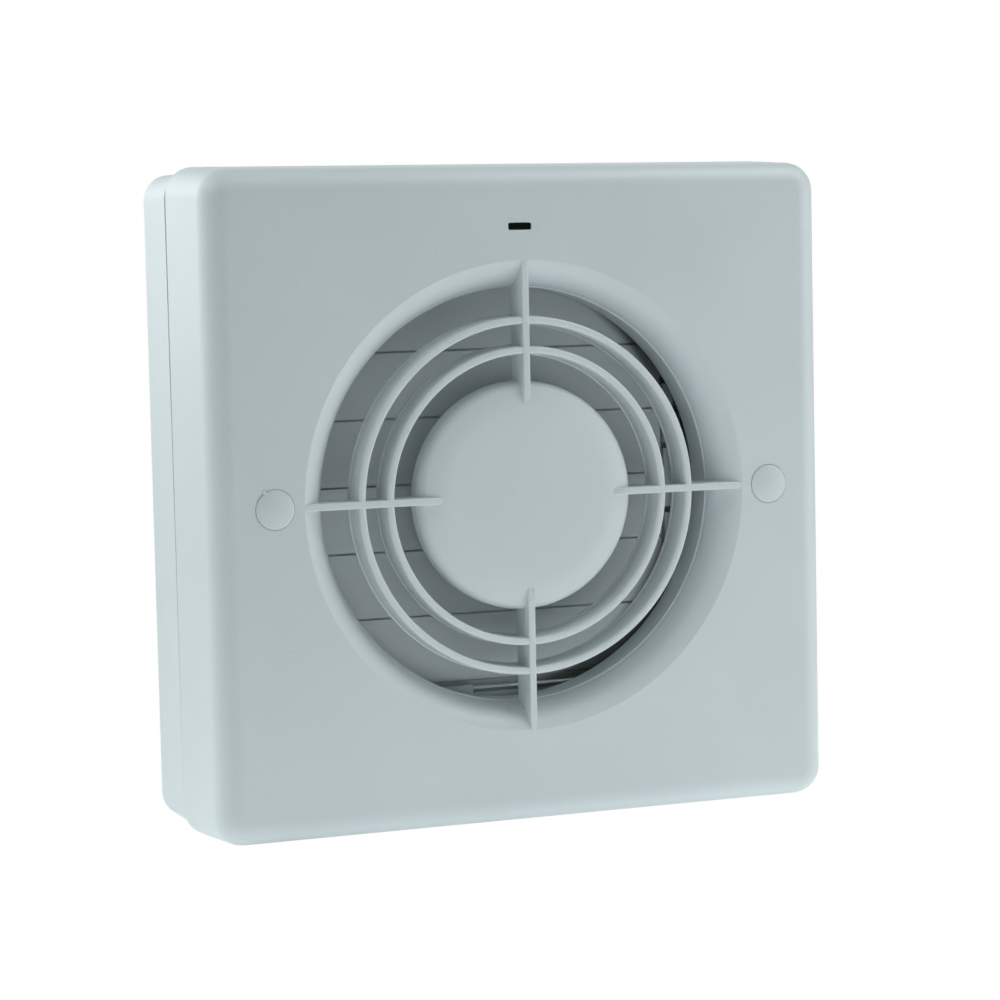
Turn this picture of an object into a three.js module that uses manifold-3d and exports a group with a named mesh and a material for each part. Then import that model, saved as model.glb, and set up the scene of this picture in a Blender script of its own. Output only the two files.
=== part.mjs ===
// Square axial extractor fan for a 100 mm duct, with a louvre shutter behind its grille.
// Millimetres. X runs right as seen from the room, Y into the wall and Z up. The origin is
// the point where the duct axis meets the wall.
import * as THREE from "three";
import { mergeVertices } from "three/addons/utils/BufferGeometryUtils.js";
import Module from "manifold-3d";

const wasm = await Module();
wasm.setup();

// Driving dimensions of the whole fan
const spigotDiameter = 98; // outside, which drives the throat and the casing
const spigotLength = 48;
const throatLip = 1; // from the spigot's radius out to the throat's
const casingDepth = 50; // from the wall to the front face
const housingDepth = 22; // from the wall to the seam
const seamGap = 0.4;
const skin = 2.5; // moulded wall of cover and housing
const clearance = 0.3; // between pieces that touch
const overrun = 1; // how far a cut runs past a face

// Front cover
const coverDraft = 1.4; // each side leans in by this towards the front
const coverCorner = 9;
const edgeRound = 5;
const mouthFlare = 5.7; // from the throat out to the edge of the bell-mouth
const coverMargin = 24.3; // from the bell-mouth out to the rear rim of the cover
const mouthDepth = 6.4;
const mouthLap = 1.2; // flat collar that joins the bell-mouth to the front wall
const throatDepth = 15.5;
const throatWall = 2;

// Grille
const hubFlatRadius = 22;
const hubRadius = 27.5;
const hubShoulder = 6;
const grilleDepth = 8;
const hubWall = 2;
const ringRadii = [42.1, 35];
const ringHalfBack = 1.1;
const ringHalfNose = 0.9;
const ringHalfFront = 0.45;
const ringNose = 1.2;
const ringSetback = 0.15;
const finThickness = 1.7;
const finCount = 4;

// Cover screws and their caps
const capMargin = 7.9; // from the bell-mouth out to the middle of each cap
const capRadius = 4.85;
const capDome = 0.9;
const capSeatDepth = 0.6;
const capStemRadius = 3.7;
const capStemLength = 5;
const capWall = 1;
const recessDepth = 14;
const bossWall = 2;
const coverScrew = { head: 3.4, headDepth: 2.2, shank: 1.4, length: 22 };
const slotReachShare = 0.7; // of the head's radius, for the cross slot of every screw
const slotWidthShare = 0.25;

// Indicator window and lamp
const windowWidth = 6;
const windowHeight = 1.75;
const windowRise = 8.7; // from the bell-mouth up to the middle of the window
const windowX = -1.1;
const windowSink = 0.5;
const windowFlange = 1.8;
const windowFlangeDepth = 1.2;
const lampRadius = 2.2;
const lampLength = 12;
const lampGap = 2; // from the lamp to the back of the window
const holderWidth = 16;
const holderDepth = 3;
const stalkWidth = 6;
const pegRadius = 1.5;

// Rear housing
const housingInset = 1; // the housing stands this far inside the cover's rim
const housingWall = 3;
const housingCorner = 8;
const backRound = 1.5;
const tongueHeight = 2.6;
const tongueGap = 0.5;
const tongueWall = 2;
const ductWall = 2;
const ductForward = 16; // how far the duct reaches from the wall plane into the casing
const spigotChamfer = 0.8;
const postRadius = 4.5;
const wallSlot = { inset: 11, drop: 29, radius: 2.3, travel: 3 }; // from the housing's sides

// Motor spider
const spiderThickness = 3;
const spiderPlateRadius = 21;
const spiderHoleRadius = 7;
const spiderArmWidth = 6;
const spiderRibWidth = 1.8;
const spiderRibDepth = 5;
const spiderRibStart = 27;
const spiderArms = 3;

// Shutter flaps
const flapCount = 6;
const flapTopInset = 1.2; // from the top of the throat down to the first pivot
const flapBottomInset = 4.2; // from the lowest flap down to the bottom of the throat
const flapSetback = 1.2; // from the frame's front edge to the flaps
const flapThickness = 1.4;
const flapChamfer = 0.45;
const flapSeam = 0.45;
const flapSideGap = 0.8;
const barrelRadius = 1.25;
const barrelNeckShare = 1.2;
const linkSpace = 7.8; // left free inside the throat, right of the flaps
const pivotPinRadius = 0.9;
const crankRadius = 6;
const crankRestDegrees = -40; // below the level line, pointing into the wall
const crankThickness = 1.4;
const crankHalfWidth = 1.5;
const crankPinRadius = 0.9;

// Shutter frame
const frameDepth = 12.5;
const frameSideMargin = 2.4; // from the throat out to the frame's left wall
const frameLinkMargin = 3; // from the throat out to its right wall
const frameWall = 2;
const sillDrop = 3; // from the lowest flap down to the sill
const webWidth = 2.6;
const webSetback = 0.5;
const notchDepth = 1.6;
const notchHeight = 1.5;
const plateThickness = 2;
const plateMargin = 9.8;
const plateDrop = 4;
const lug = { reach: 9, drop: 12, radius: 4.5 }; // from the sides and the top of the throat
const frameScrew = { head: 2.8, headDepth: 1.8, shank: 1.3, length: 10 };

// Link bar
const barThickness = 1.8;
const barHalfWidth = 1.6;
const footWidth = 7;
const footHeight = 5.2;
const footThickness = 2;

// Bell crank and push rod
const bellArm = 7.8;
const bellHalfWidth = 2.2;
const bellThickness = 2;
const bellScrew = { head: 2.6, headDepth: 1.6, shank: 1.2, length: 8 };
const bellPegRadius = 1;
const bellPegLength = 6;
const slotPlay = 0.45;
const slotTravel = 1.2;
const rodRadius = 0.5;
const rodRise = 1.1; // above the sill
const rodSetback = 1;
const guideRun = 13.2; // from the actuator to the guide
const guideWidth = 2.5;

// Actuator
const actuatorRadius = 5;
const actuatorLength = 35;
const actuatorCollar = 0.5;
const actuatorCollarLength = 4;
const plungerRadius = 1.5;
const plungerHidden = 9;
const saddleWidth = 4;
const saddleInsets = [6, 24]; // from the actuator's left end
const saddleWall = 1;
const saddleGrip = 0.8; // how far the saddles reach past the actuator's axis
const tabLength = 6;
const tabWidth = 3;
const tabThickness = 0.8;
const tabSpread = 3;

// Motor
const stackSetback = 6; // from the front end of the duct
const stackDepth = 12;
const stackHalfWidth = 24;
const stackBelow = 16; // below the shaft
const stackAbove = 32;
const stackCorner = 4;
const yokeHeight = 9;
const poleBoreRadius = 10.3;
const coilWindowHalfWidth = 14;
const coilHalfWidth = 12.5;
const coilBuild = 3.4; // thickness of the winding round the yoke
const rotorRadius = 9.6;
const shaftRadius = 1.5;
const bearingRadius = 3.4;
const bearingLength = 3.6;
const bracketThickness = 1.2;
const bracketHalfHeight = 5;
const bracketCupRadius = 5;
const bracketStandoff = 4.6;
const bracketEarWidth = 5;
const motorScrewX = 19;
const motorScrewSize = { head: 2.6, headDepth: 1.6, shank: 1.3 };

// Impeller
const impellerGap = 1.7; // behind the spider
const impellerDepth = 19;
const hubCupRadius = 17;
const hubCupWall = 1.8;
const hubNose = 3;
const hubBossRadius = 4.2;
const bladeCount = 6;
const bladeTipGap = 1.4;
const bladeThickness = 1.7;
const bladeRootChord = 20;
const bladeTipChord = 31;
const bladeRootPitchDegrees = 48;
const bladeTipPitchDegrees = 24;
const bladeCamberShare = 0.07;
const bladeSpanSteps = 5;
const bladeChordSteps = 4;
const clipRadius = 4.6;
const clipThickness = 1;

// Terminal block, cable clamp and leads
const block = { gap: 5, rise: 9, width: 28, height: 13, depth: 11 }; // beside the clamp, above the duct
const blockWays = 3;
const wireHoleRadius = 1.6;
const wireHoleDepth = 5;
const terminalScrew = { head: 1.7, headDepth: 1.2, shank: 1, length: 3.5 };
const blockRib = 1.4;
const blockRibHeight = 4;
const clamp = { reach: 6.5, width: 5, spread: 11.4, thickness: 2.4, standoff: 6 }; // reach from the hole
const clampBossRadius = 2.6;
const clampScrew = { head: 2.1, headDepth: 1.4, shank: 1.1, length: 6.5 };
const cableHole = { inset: 9, drop: 10, width: 14, height: 8 }; // from the housing's right and top
const leadRadius = 0.9;
const leadNotch = { x: 9.5, width: 8, depth: 4 };

// Smoothness, in steps round a full turn or along a curve
const largeSteps = 44;
const mediumSteps = 24;
const smallSteps = 12;
const tinySteps = 8;
const curveSteps = 3;
const slotCornerSteps = 2;
const leadSideCount = 6;
const shortLeadSteps = 16;
const longLeadSteps = 44;

// Places that follow from the driving dimensions
const degrees = Math.PI / 180;
const frontY = -casingDepth;
const coverDepth = casingDepth - housingDepth - seamGap / 2;
const housingRimY = -housingDepth + seamGap / 2;
const ductRadius = spigotDiameter / 2;
const ductBore = ductRadius - ductWall;
const throatRadius = ductRadius + throatLip;
const mouthRadius = throatRadius + mouthFlare;
const coverHalf = mouthRadius + coverMargin;
const capOffset = mouthRadius + capMargin;
const windowZ = mouthRadius + windowRise;
const coverFrontHalf = coverHalf - coverDraft;
const faceHalf = coverFrontHalf - edgeRound;
const faceCorner = coverCorner - edgeRound;
const housingHalf = coverHalf - housingInset;
const floorY = -skin;
const coverPostY = frontY + recessDepth + bossWall + clearance;

// Places of the shutter
const frameFrontY = frontY + throatDepth + clearance;
const frameBackY = frameFrontY + frameDepth;
const plateFrontY = frameBackY - plateThickness;
const framePostY = frameBackY + clearance;
const flapFrontY = frameFrontY + flapSetback;
const pivotY = flapFrontY + barrelRadius;
const flapTopZ = throatRadius - flapTopInset;
const lowestFlapZ = -throatRadius + flapBottomInset;
const flapPitch = (flapTopZ - lowestFlapZ + barrelRadius + flapSeam) / flapCount;
const flapReach = flapPitch - barrelRadius - flapSeam;
const crankRest = crankRestDegrees * degrees;
const crankY = crankRadius * Math.cos(crankRest);
const crankZ = crankRadius * Math.sin(crankRest);
const barLift = -2 * crankZ;
const frameLeft = -throatRadius - frameSideMargin;
const frameRight = throatRadius + frameLinkMargin;
const frameTop = flapTopZ - crankZ + Math.max(barHalfWidth, crankHalfWidth) + 2 * clearance;
const frameBottom = lowestFlapZ - sillDrop;
const flapLeft = frameLeft + flapSideGap;
const flapRight = throatRadius - linkSpace;
const webLeft = flapRight + 2 * clearance;
const webRight = webLeft + webWidth;
const crankLeft = webRight + 2 * clearance;
const crankRight = crankLeft + crankThickness;
const barLeft = crankRight + clearance;
const barRight = barLeft + barThickness;
const lugX = throatRadius + lug.reach;
const lugZ = throatRadius - lug.drop;

// Places of the bell crank, push rod and actuator
const rodY = frameFrontY + rodSetback;
const rodZ = frameBottom + rodRise;
const guideTop = lowestFlapZ - 2 * clearance;
const bellX = (barLeft + barRight) / 2 + bellArm;
const bellRest = Math.asin(barLift / 2 / bellArm);
const bellZ = rodZ - (bellArm * (1 + Math.cos(bellRest))) / 2;
const plateLeft = frameLeft - plateMargin;
const plateRight = frameRight + plateMargin;
const actuatorLeft = plateLeft + frameWall;
const actuatorZ = frameBottom - frameWall - actuatorRadius - actuatorCollar - 2 * clearance;
const actuatorRight = actuatorLeft + actuatorLength;
const guideX = actuatorRight + guideRun;
const plateBottom = actuatorZ - actuatorRadius - plateDrop;

// Places of the motor and impeller
const stackFrontY = -ductForward + stackSetback;
const stackBackY = stackFrontY + stackDepth;
const frontBracketY = stackFrontY - clearance - bracketThickness;
const rearBracketY = stackBackY + clearance + bracketThickness;
const spiderY = rearBracketY + bracketStandoff + clearance;
const spiderBackY = spiderY + spiderThickness;
const impellerFrontY = spiderBackY + impellerGap;
const impellerBackY = impellerFrontY + impellerDepth;
const shaftFrontY = frontBracketY - bracketStandoff;
const shaftBackY = impellerBackY + 2 * clearance + 2 * clipThickness;
const motorScrew = { ...motorScrewSize, length: spiderBackY - frontBracketY };
const bladeTip = ductBore - bladeTipGap;

// Places of the terminal block, the cable hole and the clamp
const blockBottom = ductRadius + block.rise;
const holeRight = housingHalf - cableHole.inset;
const holeLeft = holeRight - cableHole.width;
const holeTop = housingHalf - cableHole.drop;
const holeBottom = holeTop - cableHole.height;
const clampX = holeLeft - clamp.reach;
const clampZ = (holeTop + holeBottom) / 2;
const blockRight = clampX - clamp.width / 2 - block.gap;
const blockLeft = blockRight - block.width;

// Colours and finishes
const finishes = {
  coverPlastic: { color: 0xe4e9ea, roughness: 0.38, metalness: 0 },
  housingPlastic: { color: 0xe8edee, roughness: 0.4, metalness: 0 },
  flapPlastic: { color: 0xdde2e3, roughness: 0.42, metalness: 0 },
  innerPlastic: { color: 0xd2d6d7, roughness: 0.5, metalness: 0 },
  windowPlastic: { color: 0x0b0c0d, roughness: 0.15, metalness: 0 },
  impellerPlastic: { color: 0xc9cdcf, roughness: 0.45, metalness: 0 },
  steel: { color: 0xb9bcbe, roughness: 0.3, metalness: 1 },
  lamination: { color: 0x6d6f72, roughness: 0.5, metalness: 1 },
  aluminium: { color: 0xa9adb0, roughness: 0.35, metalness: 1 },
  bronze: { color: 0xa5784a, roughness: 0.4, metalness: 1 },
  tape: { color: 0xd6b23c, roughness: 0.45, metalness: 0 },
  lampGlass: { color: 0xd9683c, roughness: 0.05, metalness: 0 },
  actuatorShell: { color: 0x2a2c2e, roughness: 0.4, metalness: 0 },
  terminalPlastic: { color: 0xf0eee6, roughness: 0.5, metalness: 0 },
  blueLead: { color: 0x2c5fa8, roughness: 0.5, metalness: 0 },
  brownLead: { color: 0x6b4226, roughness: 0.5, metalness: 0 },
};

// Turns positions and triangles into a solid whose faces point out.
function solidFrom(positions, triangles) {
  const build = (indices) =>
    new wasm.Manifold(
      new wasm.Mesh({
        numProp: 3,
        vertProperties: new Float32Array(positions),
        triVerts: new Uint32Array(indices),
      }),
    );
  const made = build(triangles);
  if (made.volume() > 0) {
    return made;
  }
  const turned = [...triangles];
  for (let i = 0; i < turned.length; i += 3) {
    [turned[i + 1], turned[i + 2]] = [turned[i + 2], turned[i + 1]];
  }
  return build(turned);
}

// Turns a closed three.js geometry into a solid.
function solid(geometry) {
  const bare = new THREE.BufferGeometry();
  bare.setAttribute("position", geometry.getAttribute("position"));
  if (geometry.index) {
    bare.setIndex(geometry.index);
  }
  const merged = mergeVertices(bare);
  return solidFrom(merged.attributes.position.array, merged.index.array);
}

function box([x0, y0, z0], [x1, y1, z1]) {
  const geometry = new THREE.BoxGeometry(x1 - x0, y1 - y0, z1 - z0);
  return solid(geometry.translate((x0 + x1) / 2, (y0 + y1) / 2, (z0 + z1) / 2));
}

function rodAlongY(radius, y0, y1, x = 0, z = 0, steps = smallSteps) {
  const geometry = new THREE.CylinderGeometry(radius, radius, y1 - y0, steps);
  return solid(geometry.translate(x, (y0 + y1) / 2, z));
}

function rodAlongX(radius, x0, x1, y = 0, z = 0, steps = smallSteps) {
  const geometry = new THREE.CylinderGeometry(radius, radius, x1 - x0, steps);
  return solid(geometry.rotateZ(Math.PI / 2).translate((x0 + x1) / 2, y, z));
}

function rodAlongZ(radius, z0, z1, x = 0, y = 0, steps = smallSteps) {
  const geometry = new THREE.CylinderGeometry(radius, radius, z1 - z0, steps);
  return solid(geometry.rotateX(Math.PI / 2).translate(x, y, (z0 + z1) / 2));
}

// Turns a profile of [radius, y] points about the Y axis.
function turned(profile, steps = largeSteps) {
  const points = profile.map(([radius, y]) => new THREE.Vector2(radius, y));
  return solid(new THREE.LatheGeometry(points, steps));
}

// Extrudes an outline of [x, z] points from y0 to y1.
function plate(outline, y0, y1) {
  const shape = new THREE.Shape(outline.map(([x, z]) => new THREE.Vector2(x, z)));
  const geometry = new THREE.ExtrudeGeometry(shape, { depth: y1 - y0, bevelEnabled: false });
  return solid(geometry.rotateX(Math.PI / 2).translate(0, y1, 0));
}

// Extrudes an outline of [y, z] points from x0 to x1.
function strip(outline, x0, x1) {
  const shape = new THREE.Shape(outline.map(([y, z]) => new THREE.Vector2(y, z)));
  const geometry = new THREE.ExtrudeGeometry(shape, { depth: x1 - x0, bevelEnabled: false });
  const basis = new THREE.Matrix4().makeBasis(
    new THREE.Vector3(0, 1, 0),
    new THREE.Vector3(0, 0, 1),
    new THREE.Vector3(1, 0, 0),
  );
  return solid(geometry.applyMatrix4(basis).translate(x0, 0, 0));
}

function arc(centreX, centreY, radiusX, radiusY, from, to, steps) {
  return Array.from({ length: steps + 1 }, (_, i) => {
    const angle = from + ((to - from) * i) / steps;
    return [centreX + radiusX * Math.cos(angle), centreY + radiusY * Math.sin(angle)];
  });
}

function roundedBoxOutline(x0, z0, x1, z1, radius, steps = curveSteps) {
  const quarter = Math.PI / 2;
  return [
    ...arc(x1 - radius, z1 - radius, radius, radius, 0, quarter, steps),
    ...arc(x0 + radius, z1 - radius, radius, radius, quarter, 2 * quarter, steps),
    ...arc(x0 + radius, z0 + radius, radius, radius, 2 * quarter, 3 * quarter, steps),
    ...arc(x1 - radius, z0 + radius, radius, radius, 3 * quarter, 4 * quarter, steps),
  ];
}

// Joins rounded squares, each { half, corner, y }, into one solid.
function squareLoft(sections) {
  const rings = sections.map(({ half, corner }) =>
    roundedBoxOutline(-half, -half, half, half, corner, curveSteps),
  );
  const count = rings[0].length;
  const positions = rings.flatMap((ring, level) =>
    ring.flatMap(([x, z]) => [x, sections[level].y, z]),
  );
  const triangles = [];
  for (let level = 0; level + 1 < rings.length; level += 1) {
    for (let i = 0; i < count; i += 1) {
      const next = (i + 1) % count;
      const low = level * count;
      const high = low + count;
      triangles.push(low + i, low + next, high + i);
      triangles.push(high + i, low + next, high + next);
    }
  }
  const last = (rings.length - 1) * count;
  for (let i = 1; i + 1 < count; i += 1) {
    triangles.push(0, i + 1, i);
    triangles.push(last, last + i, last + i + 1);
  }
  return solidFrom(positions, triangles);
}

function joined(pieces) {
  return pieces.reduce((whole, piece) => whole.add(piece));
}

function without(body, cuts) {
  return cuts.reduce((whole, cut) => whole.subtract(cut), body);
}

function place(parent, name, body, finish, position = [0, 0, 0]) {
  const made = body.getMesh();
  const geometry = new THREE.BufferGeometry();
  geometry.setAttribute("position", new THREE.BufferAttribute(made.vertProperties, 3));
  geometry.setIndex(new THREE.BufferAttribute(made.triVerts, 1));
  geometry.computeVertexNormals();
  const mesh = new THREE.Mesh(geometry, new THREE.MeshStandardMaterial(finish));
  mesh.name = name;
  mesh.position.set(...position);
  parent.add(mesh);
  return mesh;
}

// A screw along +Y. Its head's top is at y = 0 and carries a cross slot.
function screw({ head, headDepth, shank, length }) {
  const slot = head * slotWidthShare;
  const reach = head * slotReachShare;
  const bodies = joined([
    rodAlongY(head, 0, headDepth),
    rodAlongY(shank, headDepth / 2, headDepth + length, 0, 0, tinySteps),
  ]);
  return without(bodies, [
    box([-reach, -headDepth, -slot / 2], [reach, headDepth / 2, slot / 2]),
    box([-slot / 2, -headDepth, -reach], [slot / 2, headDepth / 2, reach]),
  ]);
}

const fan = new THREE.Group();

// The cover's own frame has its front face at y = 0.
const cover = new THREE.Group();
cover.position.set(0, frontY, 0);
fan.add(cover);

function coverShell(inset) {
  const round = edgeRound - inset;
  const front = Array.from({ length: curveSteps + 1 }, (_, i) => {
    const angle = (i / curveSteps) * (Math.PI / 2);
    return {
      half: faceHalf + round * Math.sin(angle),
      corner: faceCorner + round * Math.sin(angle),
      y: inset + round * (1 - Math.cos(angle)),
    };
  });
  const rear = {
    half: coverHalf - inset,
    corner: coverCorner - inset,
    y: coverDepth + (inset > 0 ? overrun : 0),
  };
  return squareLoft([...front, rear]);
}

function bellMouth() {
  const quarter = Math.PI / 2;
  const run = mouthRadius - throatRadius;
  const centre = [mouthRadius, mouthDepth];
  return turned([
    ...arc(...centre, run, mouthDepth, -quarter, -2 * quarter, 2 * curveSteps),
    [throatRadius, throatDepth],
    [throatRadius + throatWall, throatDepth],
    ...arc(...centre, run - throatWall, mouthDepth - skin, -2 * quarter, -quarter, curveSteps),
    [mouthRadius + mouthLap, skin],
    [mouthRadius + mouthLap, 0],
    [mouthRadius, 0],
  ]);
}

function grilleHub() {
  const quarter = Math.PI / 2;
  const run = hubRadius - hubFlatRadius;
  return turned([
    [0, 0],
    ...arc(hubFlatRadius, hubShoulder, run, hubShoulder, -quarter, 0, curveSteps),
    [hubRadius, grilleDepth],
    [hubRadius - hubWall, grilleDepth],
    ...arc(
      hubFlatRadius,
      hubShoulder,
      run - hubWall,
      hubShoulder - hubWall,
      0,
      -quarter,
      curveSteps,
    ),
    [0, hubWall],
  ]);
}

function grilleRing(radius) {
  return turned([
    [radius - ringHalfFront, ringSetback],
    [radius + ringHalfFront, ringSetback],
    [radius + ringHalfNose, ringNose],
    [radius + ringHalfBack, grilleDepth],
    [radius - ringHalfBack, grilleDepth],
    [radius - ringHalfNose, ringNose],
    [radius - ringHalfFront, ringSetback],
  ]);
}

function grilleFin(turn) {
  const half = finThickness / 2;
  const geometry = new THREE.BoxGeometry(mouthRadius - hubFlatRadius, grilleDepth, 2 * half);
  geometry.translate((mouthRadius + hubFlatRadius) / 2, grilleDepth / 2, 0);
  return solid(geometry.rotateY(turn));
}

function windowSlot(grow, y0, y1) {
  const halfWidth = windowWidth / 2 + grow;
  const halfHeight = windowHeight / 2 + grow;
  const outline = roundedBoxOutline(
    windowX - halfWidth,
    windowZ - halfHeight,
    windowX + halfWidth,
    windowZ + halfHeight,
    halfHeight / 2,
    slotCornerSteps,
  );
  return plate(outline, y0, y1);
}

const sides = [
  ["left", -1],
  ["right", 1],
];

function frontCover() {
  const front = without(coverShell(0).subtract(coverShell(skin)), [
    rodAlongY(mouthRadius + mouthLap / 2, -overrun, skin + overrun, 0, 0, largeSteps),
  ]);
  const fins = Array.from({ length: finCount }, (_, i) => grilleFin((i / finCount) * 2 * Math.PI));
  const bosses = sides.map(([, side]) =>
    rodAlongY(
      capStemRadius + clearance + bossWall,
      skin / 2,
      recessDepth + bossWall,
      side * capOffset,
      0,
      mediumSteps,
    ),
  );
  const rings = ringRadii.map(grilleRing);
  const whole = joined([front, bellMouth(), grilleHub(), ...rings, ...fins, ...bosses]);
  const recesses = sides.flatMap(([, side]) => {
    const x = side * capOffset;
    return [
      rodAlongY(capRadius + clearance / 2, -overrun, capSeatDepth, x, 0, mediumSteps),
      rodAlongY(capStemRadius + clearance, -overrun, recessDepth, x, 0, mediumSteps),
      rodAlongY(coverScrew.shank + clearance, 0, recessDepth + bossWall + overrun, x, 0),
    ];
  });
  return without(whole, [...recesses, windowSlot(0, -overrun, skin + overrun)]);
}

function screwCap() {
  const quarter = Math.PI / 2;
  const inside = capStemRadius - capWall;
  return turned(
    [
      [0, -capDome],
      ...arc(0, 0, capRadius, capDome, -quarter, 0, curveSteps).slice(1),
      [capRadius, capSeatDepth - clearance],
      [capStemRadius, capSeatDepth - clearance],
      [capStemRadius, capStemLength],
      [inside, capStemLength],
      [inside, capWall],
      [0, capWall],
    ],
    mediumSteps,
  );
}

place(cover, "front_cover", frontCover(), finishes.coverPlastic);
for (const [side, sign] of sides) {
  const screwY = recessDepth - clearance - coverScrew.headDepth;
  place(cover, "screw_cap_" + side, screwCap(), finishes.coverPlastic, [sign * capOffset, 0, 0]);
  place(cover, "cover_screw_" + side, screw(coverScrew), finishes.steel, [
    sign * capOffset,
    screwY,
    0,
  ]);
}
const windowBackY = skin + clearance + windowFlangeDepth;
place(
  cover,
  "indicator_window",
  windowSlot(-clearance, windowSink, windowBackY).add(
    windowSlot(windowFlange, skin + clearance, windowBackY),
  ),
  finishes.windowPlastic,
);

// Rear housing, with the duct and the motor spider moulded in
function housingTray() {
  const outer = squareLoft([
    { half: housingHalf, corner: housingCorner, y: housingRimY },
    { half: housingHalf, corner: housingCorner, y: -backRound },
    { half: housingHalf - backRound, corner: housingCorner - backRound, y: 0 },
  ]);
  const innerHalf = housingHalf - housingWall;
  const innerCorner = housingCorner - housingWall;
  const inner = squareLoft([
    { half: innerHalf, corner: innerCorner, y: housingRimY - overrun },
    { half: innerHalf, corner: innerCorner, y: floorY },
  ]);
  const tongueHalf = coverHalf - skin - tongueGap;
  const tongueCorner = coverCorner - skin - tongueGap;
  const tongueTop = housingRimY - tongueHeight;
  const tongue = squareLoft([
    { half: tongueHalf, corner: tongueCorner, y: tongueTop },
    { half: tongueHalf, corner: tongueCorner, y: housingRimY + tongueWall },
  ]);
  const hollow = squareLoft([
    { half: tongueHalf - tongueWall, corner: tongueCorner - tongueWall, y: tongueTop - overrun },
    { half: tongueHalf - tongueWall, corner: tongueCorner - tongueWall, y: floorY - overrun },
  ]);
  return outer.subtract(inner).add(tongue.subtract(hollow));
}

function duct() {
  return turned([
    [ductBore, -ductForward],
    [ductRadius, -ductForward],
    [ductRadius, spigotLength - spigotChamfer],
    [ductRadius - spigotChamfer, spigotLength],
    [ductBore, spigotLength],
    [ductBore, -ductForward],
  ]);
}

function spider() {
  const back = spiderBackY;
  const reach = ductRadius - ductWall / 2;
  const ribDepth = spiderRibDepth + spiderThickness;
  const arms = Array.from({ length: spiderArms }, (_, i) => {
    const turn = Math.PI / 2 + (i / spiderArms) * 2 * Math.PI;
    const arm = new THREE.BoxGeometry(reach - spiderHoleRadius, spiderThickness, spiderArmWidth);
    arm.translate((reach + spiderHoleRadius) / 2, (spiderY + back) / 2, 0);
    const rib = new THREE.BoxGeometry(reach - spiderRibStart, ribDepth, spiderRibWidth);
    rib.translate((reach + spiderRibStart) / 2, back - ribDepth / 2, 0);
    return solid(arm.rotateY(turn)).add(solid(rib.rotateY(turn)));
  });
  const disc = rodAlongY(spiderPlateRadius, spiderY, back, 0, 0, mediumSteps);
  const pillarFront = rearBracketY + clearance;
  const bore = motorScrew.shank + clearance;
  const pillars = sides.map(([, side]) =>
    rodAlongY(bore + bossWall, pillarFront, back, side * motorScrewX, 0),
  );
  return without(joined([disc, ...arms, ...pillars]), [
    rodAlongY(spiderHoleRadius, spiderY - overrun, back + overrun, 0, 0, mediumSteps),
    ...sides.map(([, side]) =>
      rodAlongY(bore, pillarFront - overrun, back + overrun, side * motorScrewX, 0),
    ),
  ]);
}

const lugPlaces = [
  [-lugX, lugZ],
  [lugX, lugZ],
  [-lugX, -lugZ],
  [lugX, -lugZ],
];

function post(radius, bore, topY, depth, x, z) {
  return {
    body: rodAlongY(radius, topY, floorY + skin / 2, x, z),
    hole: rodAlongY(bore, topY - overrun, topY + depth, x, z, tinySteps),
  };
}

function slottedHole(x, z) {
  return plate(
    roundedBoxOutline(
      x - wallSlot.radius,
      z - wallSlot.radius - wallSlot.travel,
      x + wallSlot.radius,
      z + wallSlot.radius + wallSlot.travel,
      wallSlot.radius,
      curveSteps,
    ),
    floorY - overrun,
    overrun,
  );
}

function rearHousing() {
  const coverPosts = sides.map(([, side]) =>
    post(
      postRadius,
      coverScrew.shank + clearance,
      coverPostY,
      coverScrew.length + overrun,
      side * capOffset,
      0,
    ),
  );
  const framePosts = lugPlaces.map(([x, z]) =>
    post(lug.radius, frameScrew.shank + clearance, framePostY, frameScrew.length, x, z),
  );
  const clampTopY = floorY - clamp.standoff;
  const clampPosts = [-1, 1].map((side) =>
    post(
      clampBossRadius,
      clampScrew.shank + clearance,
      clampTopY,
      clamp.standoff,
      clampX,
      clampZ + (side * clamp.spread) / 2,
    ),
  );
  const ribGap = clearance;
  const ribBottom = blockBottom;
  const ribTop = blockBottom + block.height;
  const ribs = [blockLeft - ribGap - blockRib, blockRight + ribGap].map((x) =>
    box([x, floorY - blockRibHeight, ribBottom], [x + blockRib, floorY + skin / 2, ribTop]),
  );
  const posts = [...coverPosts, ...framePosts, ...clampPosts];
  const tray = housingTray().subtract(
    rodAlongY(ductBore + ductWall / 2, floorY - overrun, overrun, 0, 0, largeSteps),
  );
  const whole = joined([tray, duct(), spider(), ...posts.map(({ body }) => body), ...ribs]);
  const slotX = housingHalf - wallSlot.inset;
  const slotZ = housingHalf - wallSlot.drop;
  const slots = [-1, 1].flatMap((right) =>
    [-1, 1].map((up) => slottedHole(right * slotX, up * slotZ)),
  );
  const notchLeft = leadNotch.x - leadNotch.width / 2;
  return without(whole, [
    ...posts.map(({ hole }) => hole),
    ...slots,
    box([holeLeft, floorY - overrun, holeBottom], [holeRight, overrun, holeTop]),
    box(
      [notchLeft, -ductForward - overrun, 0],
      [notchLeft + leadNotch.width, -ductForward + leadNotch.depth, ductRadius + overrun],
    ),
  ]);
}

place(fan, "rear_housing", rearHousing(), finishes.housingPlastic);

// Shutter flaps, each built about its own pivot
const pivotHeights = Array.from({ length: flapCount }, (_, i) => flapTopZ - i * flapPitch);

function crankOutline() {
  const turn = Math.atan2(crankZ, crankY);
  const wide = Math.PI / 2;
  return [
    ...arc(0, 0, crankHalfWidth, crankHalfWidth, turn + wide, turn + 3 * wide, curveSteps),
    ...arc(crankY, crankZ, crankHalfWidth, crankHalfWidth, turn - wide, turn + wide, curveSteps),
  ];
}

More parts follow.
